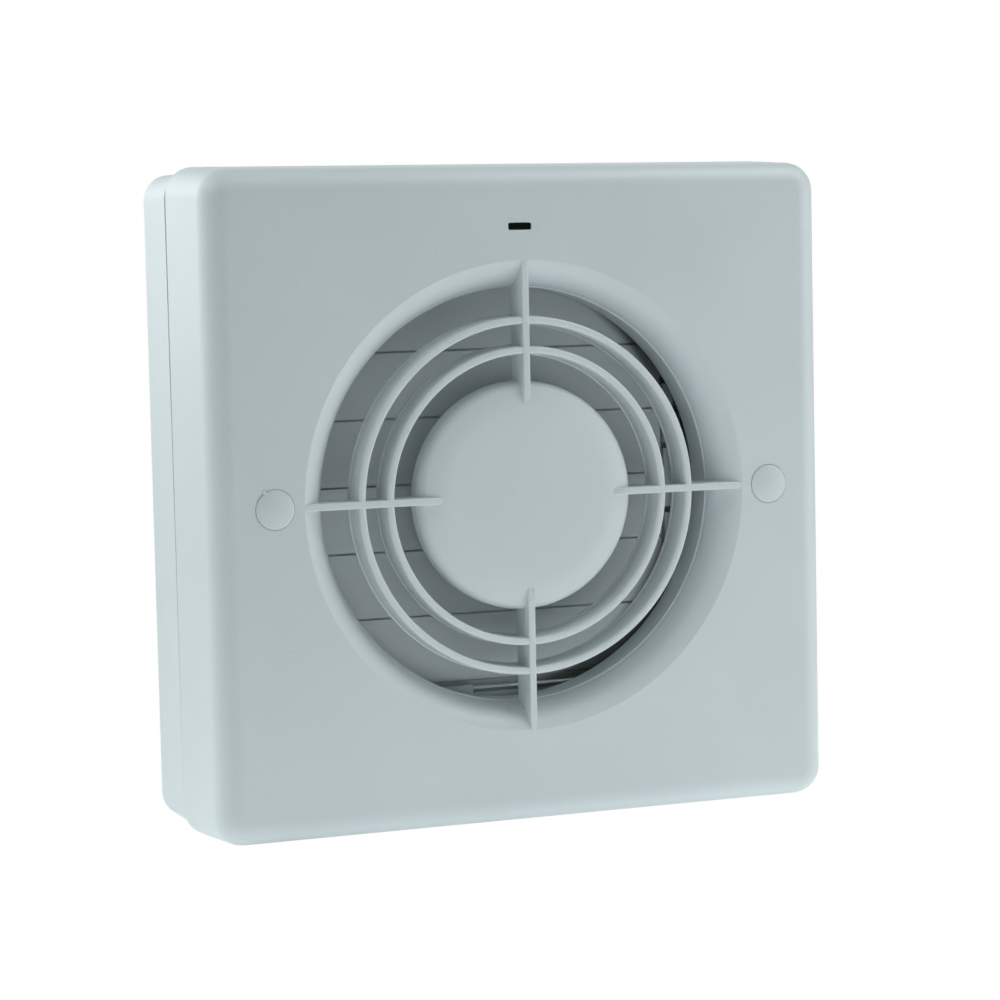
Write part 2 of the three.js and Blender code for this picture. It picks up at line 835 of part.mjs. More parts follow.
function flap() {
  const front = -barrelRadius;
  const back = front + flapThickness;
  const quarter = Math.PI / 2;
  const blade = strip(
    [
      ...arc(0, 0, barrelRadius, barrelRadius, 2 * quarter, 0, 2 * curveSteps),
      ...arc(0, 0, barrelRadius, barrelRadius, 0, -quarter / 2, 1).slice(1),
      [back, -barrelRadius * barrelNeckShare],
      [back, -flapReach],
      [front + flapChamfer, -flapReach],
      [front, -flapReach + flapChamfer],
    ],
    flapLeft,
    flapRight,
  );
  return joined([
    blade,
    rodAlongX(pivotPinRadius, frameLeft - frameWall, flapLeft + overrun, 0, 0, tinySteps),
    rodAlongX(pivotPinRadius, flapRight - overrun, crankLeft + crankThickness / 2, 0, 0, tinySteps),
    strip(crankOutline(), crankLeft, crankRight),
    rodAlongX(
      crankPinRadius,
      crankRight - crankThickness / 2,
      barRight + clearance,
      crankY,
      crankZ,
      tinySteps,
    ),
  ]);
}

const flapBody = flap();
const shutter = new THREE.Group();
fan.add(shutter);
pivotHeights.forEach((height, i) => {
  place(shutter, "shutter_flap_" + (i + 1), flapBody, finishes.flapPlastic, [0, pivotY, height]);
});

// Link bar, with a hole for each crank pin and a slotted foot for the bell crank's peg
const footX = bellX - bellArm * Math.cos(bellRest);
const footZ = bellZ - bellArm * Math.sin(bellRest);
const barY = pivotY + crankY;

function linkBar() {
  const pinHeights = pivotHeights.map((height) => height + crankZ);
  const top = pinHeights[0] + barHalfWidth;
  const bar = box([barLeft, barY - barHalfWidth, footZ], [barRight, barY + barHalfWidth, top]);
  const swing = bellArm * (1 - Math.cos(bellRest));
  const slotLeft = footX - swing - bellPegRadius - slotPlay;
  const slotRight = footX + bellPegRadius + slotPlay;
  const margin = (footWidth - slotRight + slotLeft) / 2;
  const foot = box(
    [slotLeft - margin, barY - footThickness / 2, footZ - footHeight / 2],
    [slotRight + margin, barY + footThickness / 2, footZ + footHeight / 2],
  );
  const slot = plate(
    roundedBoxOutline(
      slotLeft,
      footZ - bellPegRadius - slotPlay,
      slotRight,
      footZ + bellPegRadius + slotPlay,
      bellPegRadius,
      slotCornerSteps,
    ),
    barY - barHalfWidth - overrun,
    barY + barHalfWidth + overrun,
  );
  const holes = pinHeights.map((height) =>
    rodAlongX(crankPinRadius + clearance, barLeft - overrun, barRight + overrun, barY, height, tinySteps),
  );
  return without(bar.add(foot), [slot, ...holes]);
}

place(shutter, "link_bar", linkBar(), finishes.innerPlastic);

// Bell crank: one arm down to the left, to the link bar, and one up to the left, to the rod
const bellFrontY = rodY + rodRadius + clearance + clearance;
const bellBackY = bellFrontY + bellThickness;

function bellCrank() {
  const armEnd = (angle) => [bellX + bellArm * Math.cos(angle), bellZ + bellArm * Math.sin(angle)];
  const arm = (angle) => {
    const quarter = Math.PI / 2;
    const radius = bellHalfWidth;
    return plate(
      [
        ...arc(bellX, bellZ, radius, radius, angle + quarter, angle + 3 * quarter, curveSteps),
        ...arc(...armEnd(angle), radius, radius, angle - quarter, angle + quarter, curveSteps),
      ],
      bellFrontY,
      bellBackY,
    );
  };
  const toBar = Math.PI + bellRest;
  const toRod = Math.PI / 2 + bellRest;
  const [pegX, pegZ] = armEnd(toBar);
  const [hookX, hookZ] = armEnd(toRod);
  const slotHalf = rodRadius + clearance;
  const hookSlot = new THREE.BoxGeometry(2 * slotTravel, bellThickness + 2 * overrun, 2 * slotHalf);
  hookSlot.rotateY(-toRod).translate(hookX, (bellFrontY + bellBackY) / 2, hookZ);
  const whole = joined([
    arm(toBar),
    arm(toRod),
    rodAlongY(
      bellPegRadius,
      bellBackY - bellThickness / 2,
      bellBackY + bellPegLength,
      pegX,
      pegZ,
      tinySteps,
    ),
  ]);
  return without(whole, [
    rodAlongY(
      bellScrew.shank + clearance,
      bellFrontY - overrun,
      bellBackY + overrun,
      bellX,
      bellZ,
      tinySteps,
    ),
    solid(hookSlot),
  ]);
}

place(shutter, "bell_crank", bellCrank(), finishes.innerPlastic);
place(shutter, "bell_crank_screw", screw(bellScrew), finishes.steel, [
  bellX,
  bellFrontY - clearance - bellScrew.headDepth,
  bellZ,
]);

// Actuator and its push rod
const rodStroke = 2 * bellArm * Math.sin(bellRest);
const legX = guideX - rodStroke - rodRadius - 2 * clearance;
const hookX = bellX - bellArm * Math.sin(bellRest);

function pushRod() {
  return joined([
    rodAlongX(
      plungerRadius,
      actuatorRight - plungerHidden,
      legX + plungerRadius,
      rodY,
      actuatorZ,
      tinySteps,
    ),
    rodAlongZ(rodRadius, actuatorZ, rodZ, legX, rodY, tinySteps),
    rodAlongX(rodRadius, legX - rodRadius, hookX + rodRadius, rodY, rodZ, tinySteps),
    rodAlongY(rodRadius, rodY, bellBackY + clearance, hookX, rodZ, tinySteps),
  ]);
}

function actuator() {
  const left = actuatorLeft;
  const right = actuatorRight;
  const collar = actuatorRadius + actuatorCollar;
  const shell = joined([
    rodAlongX(actuatorRadius, left, right, rodY, actuatorZ, mediumSteps),
    rodAlongX(
      collar,
      right - actuatorCollarLength,
      right - actuatorCollarLength / 2,
      rodY,
      actuatorZ,
      mediumSteps,
    ),
    ...[-1, 1].map((side) =>
      box(
        [left - tabLength, rodY - tabWidth / 2, actuatorZ + (side * tabSpread - tabThickness) / 2],
        [left + overrun, rodY + tabWidth / 2, actuatorZ + (side * tabSpread + tabThickness) / 2],
      ),
    ),
  ]);
  const boreLeft = right - plungerHidden - 2 * clearance;
  return without(shell, [
    rodAlongX(plungerRadius + clearance, boreLeft, right + overrun, rodY, actuatorZ, smallSteps),
  ]);
}

place(shutter, "push_rod", pushRod(), finishes.steel);
place(shutter, "actuator_body", actuator(), finishes.actuatorShell);

// Shutter frame: a box frame with a pivot web on the right and a plate below
function pivotCut(x0, x1, height) {
  const radius = pivotPinRadius + clearance;
  return joined([
    rodAlongX(radius, x0 - overrun, x1 + overrun, pivotY, height, tinySteps),
    box([x0 - overrun, pivotY, height - radius], [x1 + overrun, frameBackY + overrun, height + radius]),
  ]);
}

function saddle(left) {
  const right = left + saddleWidth;
  const outer = actuatorRadius + clearance + saddleWall;
  return box(
    [left, rodY - saddleGrip, actuatorZ - outer],
    [right, plateFrontY + plateThickness / 2, frameBottom - frameWall / 2],
  ).subtract(
    rodAlongX(
      actuatorRadius + clearance,
      left - overrun,
      right + overrun,
      rodY,
      actuatorZ,
      mediumSteps,
    ),
  );
}

function shutterFrame() {
  const wall = frameWall;
  const outer = box(
    [frameLeft - wall, frameFrontY, frameBottom - wall],
    [frameRight + wall, frameBackY, frameTop + wall],
  );
  const opening = box(
    [frameLeft, frameFrontY - overrun, frameBottom],
    [frameRight, frameBackY + overrun, frameTop],
  );
  const web = box(
    [webLeft, frameFrontY + webSetback, frameBottom - wall / 2],
    [webRight, frameBackY, frameTop + wall / 2],
  );
  const lower = box(
    [plateLeft, plateFrontY, plateBottom],
    [plateRight, frameBackY, frameBottom - wall / 2],
  );
  const lugs = lugPlaces.map(([x, z]) => {
    const edge = x < 0 ? frameLeft - wall / 2 : frameRight + wall / 2;
    return rodAlongY(lug.radius, plateFrontY, frameBackY, x, z).add(
      box(
        [Math.min(x, edge), plateFrontY, z - lug.radius],
        [Math.max(x, edge), frameBackY, z + lug.radius],
      ),
    );
  });
  const ear = box(
    [windowX - stalkWidth, plateFrontY, frameTop + wall / 2],
    [windowX + stalkWidth, frameBackY, windowZ + stalkWidth],
  );
  const guide = box(
    [guideX, rodY - rodRadius - clearance, frameBottom - wall / 2],
    [guideX + guideWidth, rodY + rodRadius + 2 * clearance, guideTop],
  );
  const bellBoss = rodAlongY(
    bellHalfWidth,
    bellBackY + clearance,
    plateFrontY + plateThickness / 2,
    bellX,
    bellZ,
  );
  const saddles = saddleInsets.map((inset) => saddle(actuatorLeft + inset));
  const mouldings = [web, lower, ...lugs, ear, guide, bellBoss, ...saddles];
  const whole = joined([outer.subtract(opening), ...mouldings]);
  const middle = (height) => height - flapReach / 2;
  const legSlotRight = guideX - clearance;
  const legSlotLeft = legX - rodRadius - 2 * clearance;
  return without(whole, [
    ...pivotHeights.flatMap((height) => [
      pivotCut(frameLeft - wall, frameLeft, height),
      pivotCut(webLeft, webRight, height),
      box(
        [webLeft - overrun, frameFrontY, middle(height) - notchHeight / 2],
        [webRight + overrun, frameFrontY + webSetback + notchDepth, middle(height) + notchHeight / 2],
      ),
    ]),
    ...lugPlaces.map(([x, z]) =>
      rodAlongY(
        frameScrew.shank + clearance,
        plateFrontY - overrun,
        frameBackY + overrun,
        x,
        z,
        tinySteps,
      ),
    ),
    rodAlongY(
      pegRadius + clearance,
      plateFrontY - overrun,
      frameBackY + overrun,
      windowX,
      windowZ,
      tinySteps,
    ),
    rodAlongY(bellScrew.shank + clearance, bellBackY, plateFrontY, bellX, bellZ, tinySteps),
    rodAlongX(rodRadius + clearance, legSlotLeft, frameRight + wall + overrun, rodY, rodZ, tinySteps),
    box(
      [legSlotLeft, frameFrontY - overrun, frameBottom - wall - overrun],
      [legSlotRight, rodY + rodRadius + 2 * clearance, frameBottom + overrun],
    ),
    box(
      [webRight, frameFrontY - overrun, footZ - footHeight],
      [plateRight + overrun, plateFrontY - clearance, rodZ + bellHalfWidth + overrun],
    ).subtract(rodAlongY(bellHalfWidth, bellBackY, plateFrontY, bellX, bellZ)),
  ]);
}

place(shutter, "shutter_frame", shutterFrame(), finishes.innerPlastic);
lugPlaces.forEach(([x, z], i) => {
  const y = plateFrontY - clearance - frameScrew.headDepth;
  place(shutter, "frame_screw_" + (i + 1), screw(frameScrew), finishes.steel, [x, y, z]);
});

// Indicator lamp in its holder, on the ear of the shutter frame
const lampY = frontY + windowBackY + lampGap + lampRadius;

function lampHolder() {
  const back = plateFrontY - clearance;
  const half = stalkWidth / 2;
  const left = windowX - holderWidth / 2;
  const right = windowX + holderWidth / 2;
  const whole = joined([
    box([left, lampY, windowZ - half], [right, lampY + lampRadius + holderDepth, windowZ + half]),
    box([windowX - half, lampY + lampRadius, windowZ - half], [windowX + half, back, windowZ + half]),
    rodAlongY(pegRadius, back - overrun, frameBackY + overrun, windowX, windowZ, tinySteps),
  ]);
  return whole.subtract(
    rodAlongX(lampRadius + clearance, left - overrun, right + overrun, lampY, windowZ, smallSteps),
  );
}

function lamp() {
  const quarter = Math.PI / 2;
  const half = lampLength / 2;
  const body = turned(
    [
      ...arc(0, -half + lampRadius, lampRadius, lampRadius, -quarter, 0, curveSteps),
      ...arc(0, half - lampRadius, lampRadius, lampRadius, 0, quarter, curveSteps),
    ],
    smallSteps,
  );
  return body.rotate([0, 0, 90]);
}

place(fan, "lamp_holder", lampHolder(), finishes.innerPlastic);
place(fan, "indicator_lamp", lamp(), finishes.lampGlass, [windowX, lampY, windowZ]);

// Motor: stator stack, winding, rotor, shaft, bearings, brackets and screws
const yokeBottom = stackAbove - yokeHeight;

function stator() {
  const outline = roundedBoxOutline(
    -stackHalfWidth,
    -stackBelow,
    stackHalfWidth,
    stackAbove,
    stackCorner,
  );
  return without(plate(outline, stackFrontY, stackBackY), [
    rodAlongY(poleBoreRadius, stackFrontY - overrun, stackBackY + overrun, 0, 0, mediumSteps),
    box(
      [-coilWindowHalfWidth, stackFrontY - overrun, poleBoreRadius + bossWall],
      [coilWindowHalfWidth, stackBackY + overrun, yokeBottom],
    ),
    ...sides.map(([, side]) =>
      rodAlongY(
        motorScrew.shank + clearance,
        stackFrontY - overrun,
        stackBackY + overrun,
        side * motorScrewX,
        0,
        tinySteps,
      ),
    ),
  ]);
}

function coil() {
  const outline = (grow, round) =>
    [stackFrontY - grow, yokeBottom - grow, stackBackY + grow, stackAbove + grow, round];
  const outer = strip(
    roundedBoxOutline(...outline(coilBuild + clearance, coilBuild)),
    -coilHalfWidth,
    coilHalfWidth,
  );
  const hole = box(
    [-coilHalfWidth - overrun, stackFrontY - clearance, yokeBottom - clearance],
    [coilHalfWidth + overrun, stackBackY + clearance, stackAbove + clearance],
  );
  return outer.subtract(hole);
}

function bracket() {
  const reach = motorScrewX + bracketEarWidth;
  const bridge = joined([
    box([-reach, 0, -bracketHalfHeight], [reach, bracketThickness, bracketHalfHeight]),
    rodAlongY(bracketCupRadius, -bracketStandoff, bracketThickness, 0, 0, mediumSteps),
  ]);
  return without(bridge, [
    rodAlongY(bearingRadius + clearance, -bracketStandoff + bracketThickness, overrun + bracketThickness),
    rodAlongY(shaftRadius + clearance, -bracketStandoff - overrun, 0),
    ...sides.map(([, side]) =>
      rodAlongY(
        motorScrew.shank + clearance,
        -overrun,
        bracketThickness + overrun,
        side * motorScrewX,
        0,
        tinySteps,
      ),
    ),
  ]);
}

function bearing() {
  return turned(
    [
      [shaftRadius + clearance, 0],
      [bearingRadius, 0],
      [bearingRadius, bearingLength],
      [shaftRadius + clearance, bearingLength],
      [shaftRadius + clearance, 0],
    ],
    smallSteps,
  );
}

const motor = new THREE.Group();
fan.add(motor);
place(motor, "motor_stator", stator(), finishes.lamination);
place(motor, "motor_coil", coil(), finishes.tape);
place(
  motor,
  "motor_rotor",
  rodAlongY(rotorRadius, stackFrontY, stackBackY, 0, 0, mediumSteps).subtract(
    rodAlongY(shaftRadius + clearance, stackFrontY - overrun, stackBackY + overrun),
  ),
  finishes.aluminium,
);
place(motor, "motor_shaft", rodAlongY(shaftRadius, shaftFrontY, shaftBackY), finishes.steel);

place(motor, "bearing_bracket_front", bracket(), finishes.steel, [0, frontBracketY, 0]);
const rearBracket = place(motor, "bearing_bracket_rear", bracket(), finishes.steel, [0, rearBracketY, 0]);
rearBracket.rotation.x = Math.PI;
const bearingSink = bracketStandoff - bracketThickness - clearance;
place(motor, "bearing_front", bearing(), finishes.bronze, [0, frontBracketY - bearingSink, 0]);
const rearBearing = place(motor, "bearing_rear", bearing(), finishes.bronze, [
  0,
  rearBracketY + bearingSink,
  0,
]);
rearBearing.rotation.x = Math.PI;
for (const [side, sign] of sides) {
  const y = frontBracketY - clearance - motorScrew.headDepth;
  place(motor, "motor_screw_" + side, screw(motorScrew), finishes.steel, [sign * motorScrewX, y, 0]);
}

// Impeller: a cup hub with twisted blades, held on the shaft by a push-on clip
function impellerHub() {
  const quarter = Math.PI / 2;
  const back = impellerDepth;
  const flat = hubCupRadius - hubNose;
  return turned(
    [
      [shaftRadius + clearance, back],
      ...arc(flat, back - hubNose, hubNose, hubNose, quarter, 0, curveSteps),
      [hubCupRadius, 0],
      [hubCupRadius - hubCupWall, 0],
      [hubCupRadius - hubCupWall, back - hubNose],
      [flat, back - hubCupWall],
      [hubBossRadius, back - hubCupWall],
      [hubBossRadius, hubCupWall],
      [shaftRadius + clearance, hubCupWall],
      [shaftRadius + clearance, back],
    ],
    mediumSteps,
  );
}

function blade(turn) {
  const positions = [];
  const rootRadius = hubCupRadius - hubCupWall / 2;
  const grid = [];
  for (let side = 0; side < 2; side += 1) {
    for (let i = 0; i <= bladeSpanSteps; i += 1) {
      const share = i / bladeSpanSteps;
      const radius = rootRadius + (bladeTip - rootRadius) * share;
      const chord = bladeRootChord + (bladeTipChord - bladeRootChord) * share;
      const twist = (bladeTipPitchDegrees - bladeRootPitchDegrees) * share;
      const pitch = (bladeRootPitchDegrees + twist) * degrees;
      for (let j = 0; j <= bladeChordSteps; j += 1) {
        const along = j / bladeChordSteps - 1 / 2;
        const camber = bladeCamberShare * chord * (1 - 4 * along * along);
        const off = camber + (side - 1 / 2) * bladeThickness;
        const around = along * chord * Math.cos(pitch) - off * Math.sin(pitch);
        const axial = along * chord * Math.sin(pitch) + off * Math.cos(pitch);
        const angle = turn + around / radius;
        positions.push(radius * Math.cos(angle), impellerDepth / 2 + axial, radius * Math.sin(angle));
        grid.push([side, i, j]);
      }
    }
  }
  const index = (side, i, j) => (side * (bladeSpanSteps + 1) + i) * (bladeChordSteps + 1) + j;
  const triangles = [];
  const rear = bladeChordSteps;
  const tip = bladeSpanSteps;
  const quad = (a, b, c, d) => triangles.push(a, b, c, a, c, d);
  for (let i = 0; i < bladeSpanSteps; i += 1) {
    for (let j = 0; j < bladeChordSteps; j += 1) {
      quad(index(0, i, j), index(0, i, j + 1), index(0, i + 1, j + 1), index(0, i + 1, j));
      quad(index(1, i, j), index(1, i + 1, j), index(1, i + 1, j + 1), index(1, i, j + 1));
    }
    quad(index(0, i, 0), index(0, i + 1, 0), index(1, i + 1, 0), index(1, i, 0));
    quad(index(0, i, rear), index(1, i, rear), index(1, i + 1, rear), index(0, i + 1, rear));
  }
  for (let j = 0; j < bladeChordSteps; j += 1) {
    quad(index(0, 0, j), index(1, 0, j), index(1, 0, j + 1), index(0, 0, j + 1));
    quad(index(0, tip, j), index(0, tip, j + 1), index(1, tip, j + 1), index(1, tip, j));
  }
  return solidFrom(positions, triangles);
}

function impeller() {
  const blades = Array.from({ length: bladeCount }, (_, i) => blade((i / bladeCount) * 2 * Math.PI));
  return joined([impellerHub(), ...blades]);
}

function clip() {
  const bore = shaftRadius + clearance;
  return turned(
    [
      [bore, 0],
      [clipRadius, 0],
      [clipRadius, clipThickness],
      [bore + clipThickness, clipThickness],
      [bore + clipThickness, 2 * clipThickness],
      [bore, 2 * clipThickness],
      [bore, 0],
    ],
    smallSteps,
  );
}

place(fan, "impeller", impeller(), finishes.impellerPlastic, [0, impellerFrontY, 0]);
place(fan, "impeller_clip", clip(), finishes.steel, [0, impellerBackY + clearance, 0]);

// Terminal block with its screws
const blockFrontY = floorY - clearance - block.depth;
const wayPitch = block.width / blockWays;
const wayCentres = Array.from({ length: blockWays }, (_, i) => blockLeft + wayPitch * (i + 1 / 2));
const blockMiddleZ = blockBottom + block.height / 2;
const wireHoleY = floorY - block.depth / 2;

function terminalBlock() {
  const body = box(
    [blockLeft, blockFrontY, blockBottom],
    [blockRight, floorY - clearance, blockBottom + block.height],
  );
  const top = blockBottom + block.height;
  return without(
    body,
    wayCentres.flatMap((x) => [
      rodAlongY(
        terminalScrew.head + clearance,
        blockFrontY - overrun,
        blockFrontY + block.depth / 2,
        x,
        blockMiddleZ,
      ),
      rodAlongZ(
        wireHoleRadius,
        blockBottom - overrun,
        blockBottom + wireHoleDepth,
        x,
        wireHoleY,
        tinySteps,
      ),
      rodAlongZ(wireHoleRadius, top - wireHoleDepth, top + overrun, x, wireHoleY, tinySteps),
    ]),
  );
}

place(fan, "terminal_block", terminalBlock(), finishes.terminalPlastic);
const terminalFloorY = blockFrontY + block.depth / 2;
wayCentres.forEach((x, i) => {
  const y = terminalFloorY - clearance - terminalScrew.headDepth - terminalScrew.length;
  place(fan, "terminal_screw_" + (i + 1), screw(terminalScrew), finishes.steel, [x, y, blockMiddleZ]);
});

// Cable clamp
function cableClamp() {
  const half = clamp.spread / 2 + clampBossRadius;
  const top = floorY - clamp.standoff - clearance;
  const bar = box(
    [clampX - clamp.width / 2, top - clamp.thickness, clampZ - half],
    [clampX + clamp.width / 2, top, clampZ + half],
  );
  const holes = [-1, 1].map((side) =>
    rodAlongY(
      clampScrew.shank + clearance,
      top - clamp.thickness - overrun,
      top + overrun,
      clampX,
      clampZ + (side * clamp.spread) / 2,
      tinySteps,
    ),
  );
  return without(bar, holes);
}

place(fan, "cable_clamp", cableClamp(), finishes.innerPlastic);
[-1, 1].forEach((side, i) => {
  const y = floorY - clamp.standoff - 2 * clearance - clamp.thickness - clampScrew.headDepth;
  place(fan, "clamp_screw_" + (i + 1), screw(clampScrew), finishes.steel, [
    clampX,
    y,
    clampZ + (side * clamp.spread) / 2,
  ]);
});

// Leads inside the casing, each along a route of chosen points
function lead(points, radius, steps) {
  const route = new THREE.CatmullRomCurve3(points.map(([x, y, z]) => new THREE.Vector3(x, y, z)));
  const section = new THREE.Shape(
    arc(0, 0, radius, radius, 0, 2 * Math.PI * (1 - 1 / leadSideCount), leadSideCount - 1).map(
      ([x, y]) => new THREE.Vector2(x, y),
    ),
  );
  return solid(
    new THREE.ExtrudeGeometry(section, { extrudePath: route, steps, bevelEnabled: false }),
  );
}

const motorLiveRoute = [
  [9, -10, 36.1],
  [9.4, -11, 40],
  [10.4, -13.4, 44],
  [11, -14, 48],
  [15, -12.5, 51.5],
  [23.5, -9, 53.5],
  [28, -8, 57],
  [28, -8, 61.5],
];
const motorNeutralRoute = [
  [5, -10, 36.1],
  [5.6, -11, 40],
  [7.2, -13.4, 44],
  [8, -14, 48],
  [10, -11.5, 52.5],
  [15.5, -8.7, 55],
  [18.67, -8, 58],
  [18.67, -8, 61.5],
];
const actuatorRoute = [
  [-66.4, -33.2, -57],
  [-69, -32, -56],
  [-71.5, -26, -50],
  [-72, -18, -38],
  [-72, -12, -20],
  [-72, -10, 0],
  [-72, -10, 22],
  [-71, -10, 45],
  [-66, -10, 62],
  [-55, -10, 71],
  [-35, -10, 73.8],
  [-10, -10, 74.2],
  [8, -9, 74.2],
  [16, -8.2, 73.8],
  [18.67, -8, 70],
  [18.67, -8, 67],
];
place(fan, "motor_lead_live", lead(motorLiveRoute, leadRadius, shortLeadSteps), finishes.brownLead);
place(fan, "motor_lead_neutral", lead(motorNeutralRoute, leadRadius, shortLeadSteps), finishes.blueLead);
place(fan, "actuator_lead", lead(actuatorRoute, leadRadius, longLeadSteps), finishes.blueLead);

export default fan;
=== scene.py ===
# %% [markdown]
# # A square extractor fan
# The fan hangs on a bathroom wall over a 100 mm duct. Its working model is already made: every piece has
# its size, its place and its joint. This file gives it its looks. It loads that model, builds a finer
# piece for each plain one, and gives each piece the surface of its real material.

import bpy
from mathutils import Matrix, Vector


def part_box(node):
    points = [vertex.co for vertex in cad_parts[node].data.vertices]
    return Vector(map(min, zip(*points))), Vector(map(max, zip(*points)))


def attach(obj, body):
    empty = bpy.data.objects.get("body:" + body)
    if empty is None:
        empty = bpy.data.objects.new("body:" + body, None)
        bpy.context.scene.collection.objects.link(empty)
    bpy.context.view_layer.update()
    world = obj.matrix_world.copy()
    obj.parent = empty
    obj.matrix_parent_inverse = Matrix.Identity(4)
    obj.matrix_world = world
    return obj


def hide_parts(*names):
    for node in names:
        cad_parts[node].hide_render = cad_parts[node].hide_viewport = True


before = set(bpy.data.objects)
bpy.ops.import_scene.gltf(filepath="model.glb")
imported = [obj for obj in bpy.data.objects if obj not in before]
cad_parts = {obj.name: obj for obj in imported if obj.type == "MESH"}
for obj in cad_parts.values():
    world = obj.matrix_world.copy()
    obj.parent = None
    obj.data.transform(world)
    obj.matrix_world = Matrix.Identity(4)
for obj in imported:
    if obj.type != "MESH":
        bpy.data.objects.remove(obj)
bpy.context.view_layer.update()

# %% [markdown]
# ## Units and a few helpers
# Blender measures in metres, but this fan is small, so its sizes are written in millimetres and one
# function turns them into metres. The model's frame has X to the right, Y into the wall and Z up, and the
# wall is Y = 0. An operator works on whatever is selected, so every helper first clears the selection.

# %% Units and selection
import math
from contextlib import contextmanager

import bmesh
import bpy
from mathutils import Matrix, Vector

MM = 0.001


def metres(*sizes):
    """A place or size given in millimetres, as a vector in metres."""
    return Vector(sizes) * MM


def choose(*pieces):
    """Select only these pieces and make the first one active."""
    bpy.ops.object.select_all(action="DESELECT")
    for piece in pieces:
        piece.select_set(True)
    bpy.context.view_layer.objects.active = pieces[0]


def settle(piece):
    """Bring the object to the origin and keep its place in its mesh."""
    choose(piece)
    bpy.ops.object.transform_apply(location=True, rotation=True, scale=True)
    return piece


def move(piece, *offset):
    """Move a piece by an offset in millimetres."""
    piece.location = metres(*offset)
    return settle(piece)


def turn(piece, degrees, axis="Y"):
    """Turn a piece about one of the frame's axes."""
    piece.matrix_world = Matrix.Rotation(math.radians(degrees), 4, axis)
    return settle(piece)


# %% [markdown]
# In edit mode a person clicks on the faces and edges to work on. A script picks them by their place or
# their direction instead. `editing` opens and closes edit mode, and `pick` selects all that passes a
# test.

# %% Edit mode
@contextmanager
def editing(piece):
    choose(piece)
    bpy.ops.object.mode_set(mode="EDIT")
    bpy.ops.mesh.select_mode(type="VERT")
    bpy.ops.mesh.select_all(action="SELECT")
    yield
    bpy.ops.object.mode_set(mode="OBJECT")


def pick(kind, test):
    """Select the vertices, edges or faces that pass a test."""
    bpy.ops.mesh.select_mode(type=kind)
    bpy.ops.mesh.select_all(action="DESELECT")
    data = bpy.context.edit_object.data
    mesh = bmesh.from_edit_mesh(data)
    for element in {"VERT": mesh.verts, "EDGE": mesh.edges, "FACE": mesh.faces}[kind]:
        if test(element):
            element.select_set(True)
    mesh.select_flush_mode()
    bmesh.update_edit_mesh(data)


def at(axis, place):
    """A test: do all corners of an edge or face lie at this place along the axis (0 X, 1 Y, 2 Z)?"""
    return lambda element: all(abs(v.co[axis] / MM - place) < 0.01 for v in element.verts)


def along(axis):
    """A test: does an edge run along the axis?"""
    return lambda edge: abs(edge.verts[0].co[axis] - edge.verts[1].co[axis]) > 0.1 * MM


def bevel(width, segments, kind="EDGES"):
    """Bevel the selected edges or vertices, with a width in millimetres."""
    bpy.ops.mesh.bevel(offset=width * MM, segments=segments, affect=kind)


def rounded(piece, axis, width, segments, test=lambda edge: True):
    """Bevel the edges that run along an axis, or those of them that pass a test."""
    with editing(piece):
        pick("EDGE", lambda edge: along(axis)(edge) and test(edge))
        bevel(width, segments)
    return piece


# %% [markdown]
# ## Solids to start from
# Most mouldings start as a block, a rod or a turned shape. The block and the rod are Blender's cube and
# cylinder at their size and place. A turned shape is drawn the way a lathe sees it: one point is extruded
# along the profile, and the profile is spun round the duct's axis.

# %% Blocks, rods and turned shapes
TURNS = {"X": (0, math.pi / 2, 0), "Y": (math.pi / 2, 0, 0), "Z": (0, 0, 0)}


def named(name):
    piece = bpy.context.object
    piece.name = piece.data.name = name
    return settle(piece)


def block(name, low, high):
    """A box between two corners, in millimetres."""
    low, high = metres(*low), metres(*high)
    bpy.ops.mesh.primitive_cube_add(size=1, location=(low + high) / 2, scale=high - low)
    return named(name)


def rod(name, axis, radius, start, end, across=(0, 0), sides=48):
    """A round rod along an axis, from start to end, at a place across it in the order of the other axes."""
    middle = list(across)
    middle.insert("XYZ".index(axis), (start + end) / 2)
    size = {"radius": radius * MM, "depth": (end - start) * MM}
    bpy.ops.mesh.primitive_cylinder_add(
        vertices=sides, location=metres(*middle), rotation=TURNS[axis], **size
    )
    return named(name)


def hole(axis, radius, start, end, across=(0, 0), sides=32):
    """A rod to cut a hole with."""
    return rod("hole", axis, radius, start, end, across, sides)


def holes(axis, radius, start, end, places):
    """The same hole at several places across the axis."""
    return [hole(axis, radius, start, end, place) for place in places]


def drawn(name, points):
    """Draw a line through points in millimetres, by extruding one point from each to the next."""
    bpy.ops.mesh.primitive_plane_add(size=MM)
    piece = named(name)
    places = [metres(*point) for point in points]
    with editing(piece):
        bpy.ops.mesh.merge(type="CENTER")
        bpy.ops.transform.translate(value=places[0])
        for here, there in zip(places, places[1:]):
            bpy.ops.mesh.extrude_region_move(TRANSFORM_OT_translate={"value": there - here})
    return piece


def turned(name, profile, sides=96):
    """Spin a profile of (radius, y) points, in millimetres, round the Y axis."""
    piece = drawn(name, [(radius, y, 0) for radius, y in profile])
    with editing(piece):
        bpy.ops.mesh.spin(steps=sides, angle=2 * math.pi, center=(0, 0, 0), axis=(0, 1, 0))
        bpy.ops.mesh.select_all(action="SELECT")
        bpy.ops.mesh.remove_doubles(threshold=0.001 * MM)
        bpy.ops.mesh.normals_make_consistent(inside=False)
    return piece


def extruded(name, axis, outline, start, end):
    """Fill an outline, given across the axis in the order of the other axes, and extrude it."""
    number = "XYZ".index(axis)
    length = [0, 0, 0]
    length[number] = end - start
    piece = drawn(name, [[*point[:number], start, *point[number:]] for point in outline])
    with editing(piece):
        bpy.ops.mesh.edge_face_add()
        bpy.ops.mesh.extrude_region_move(TRANSFORM_OT_translate={"value": metres(*length)})
        bpy.ops.mesh.select_all(action="SELECT")
        bpy.ops.mesh.normals_make_consistent(inside=False)
    return piece


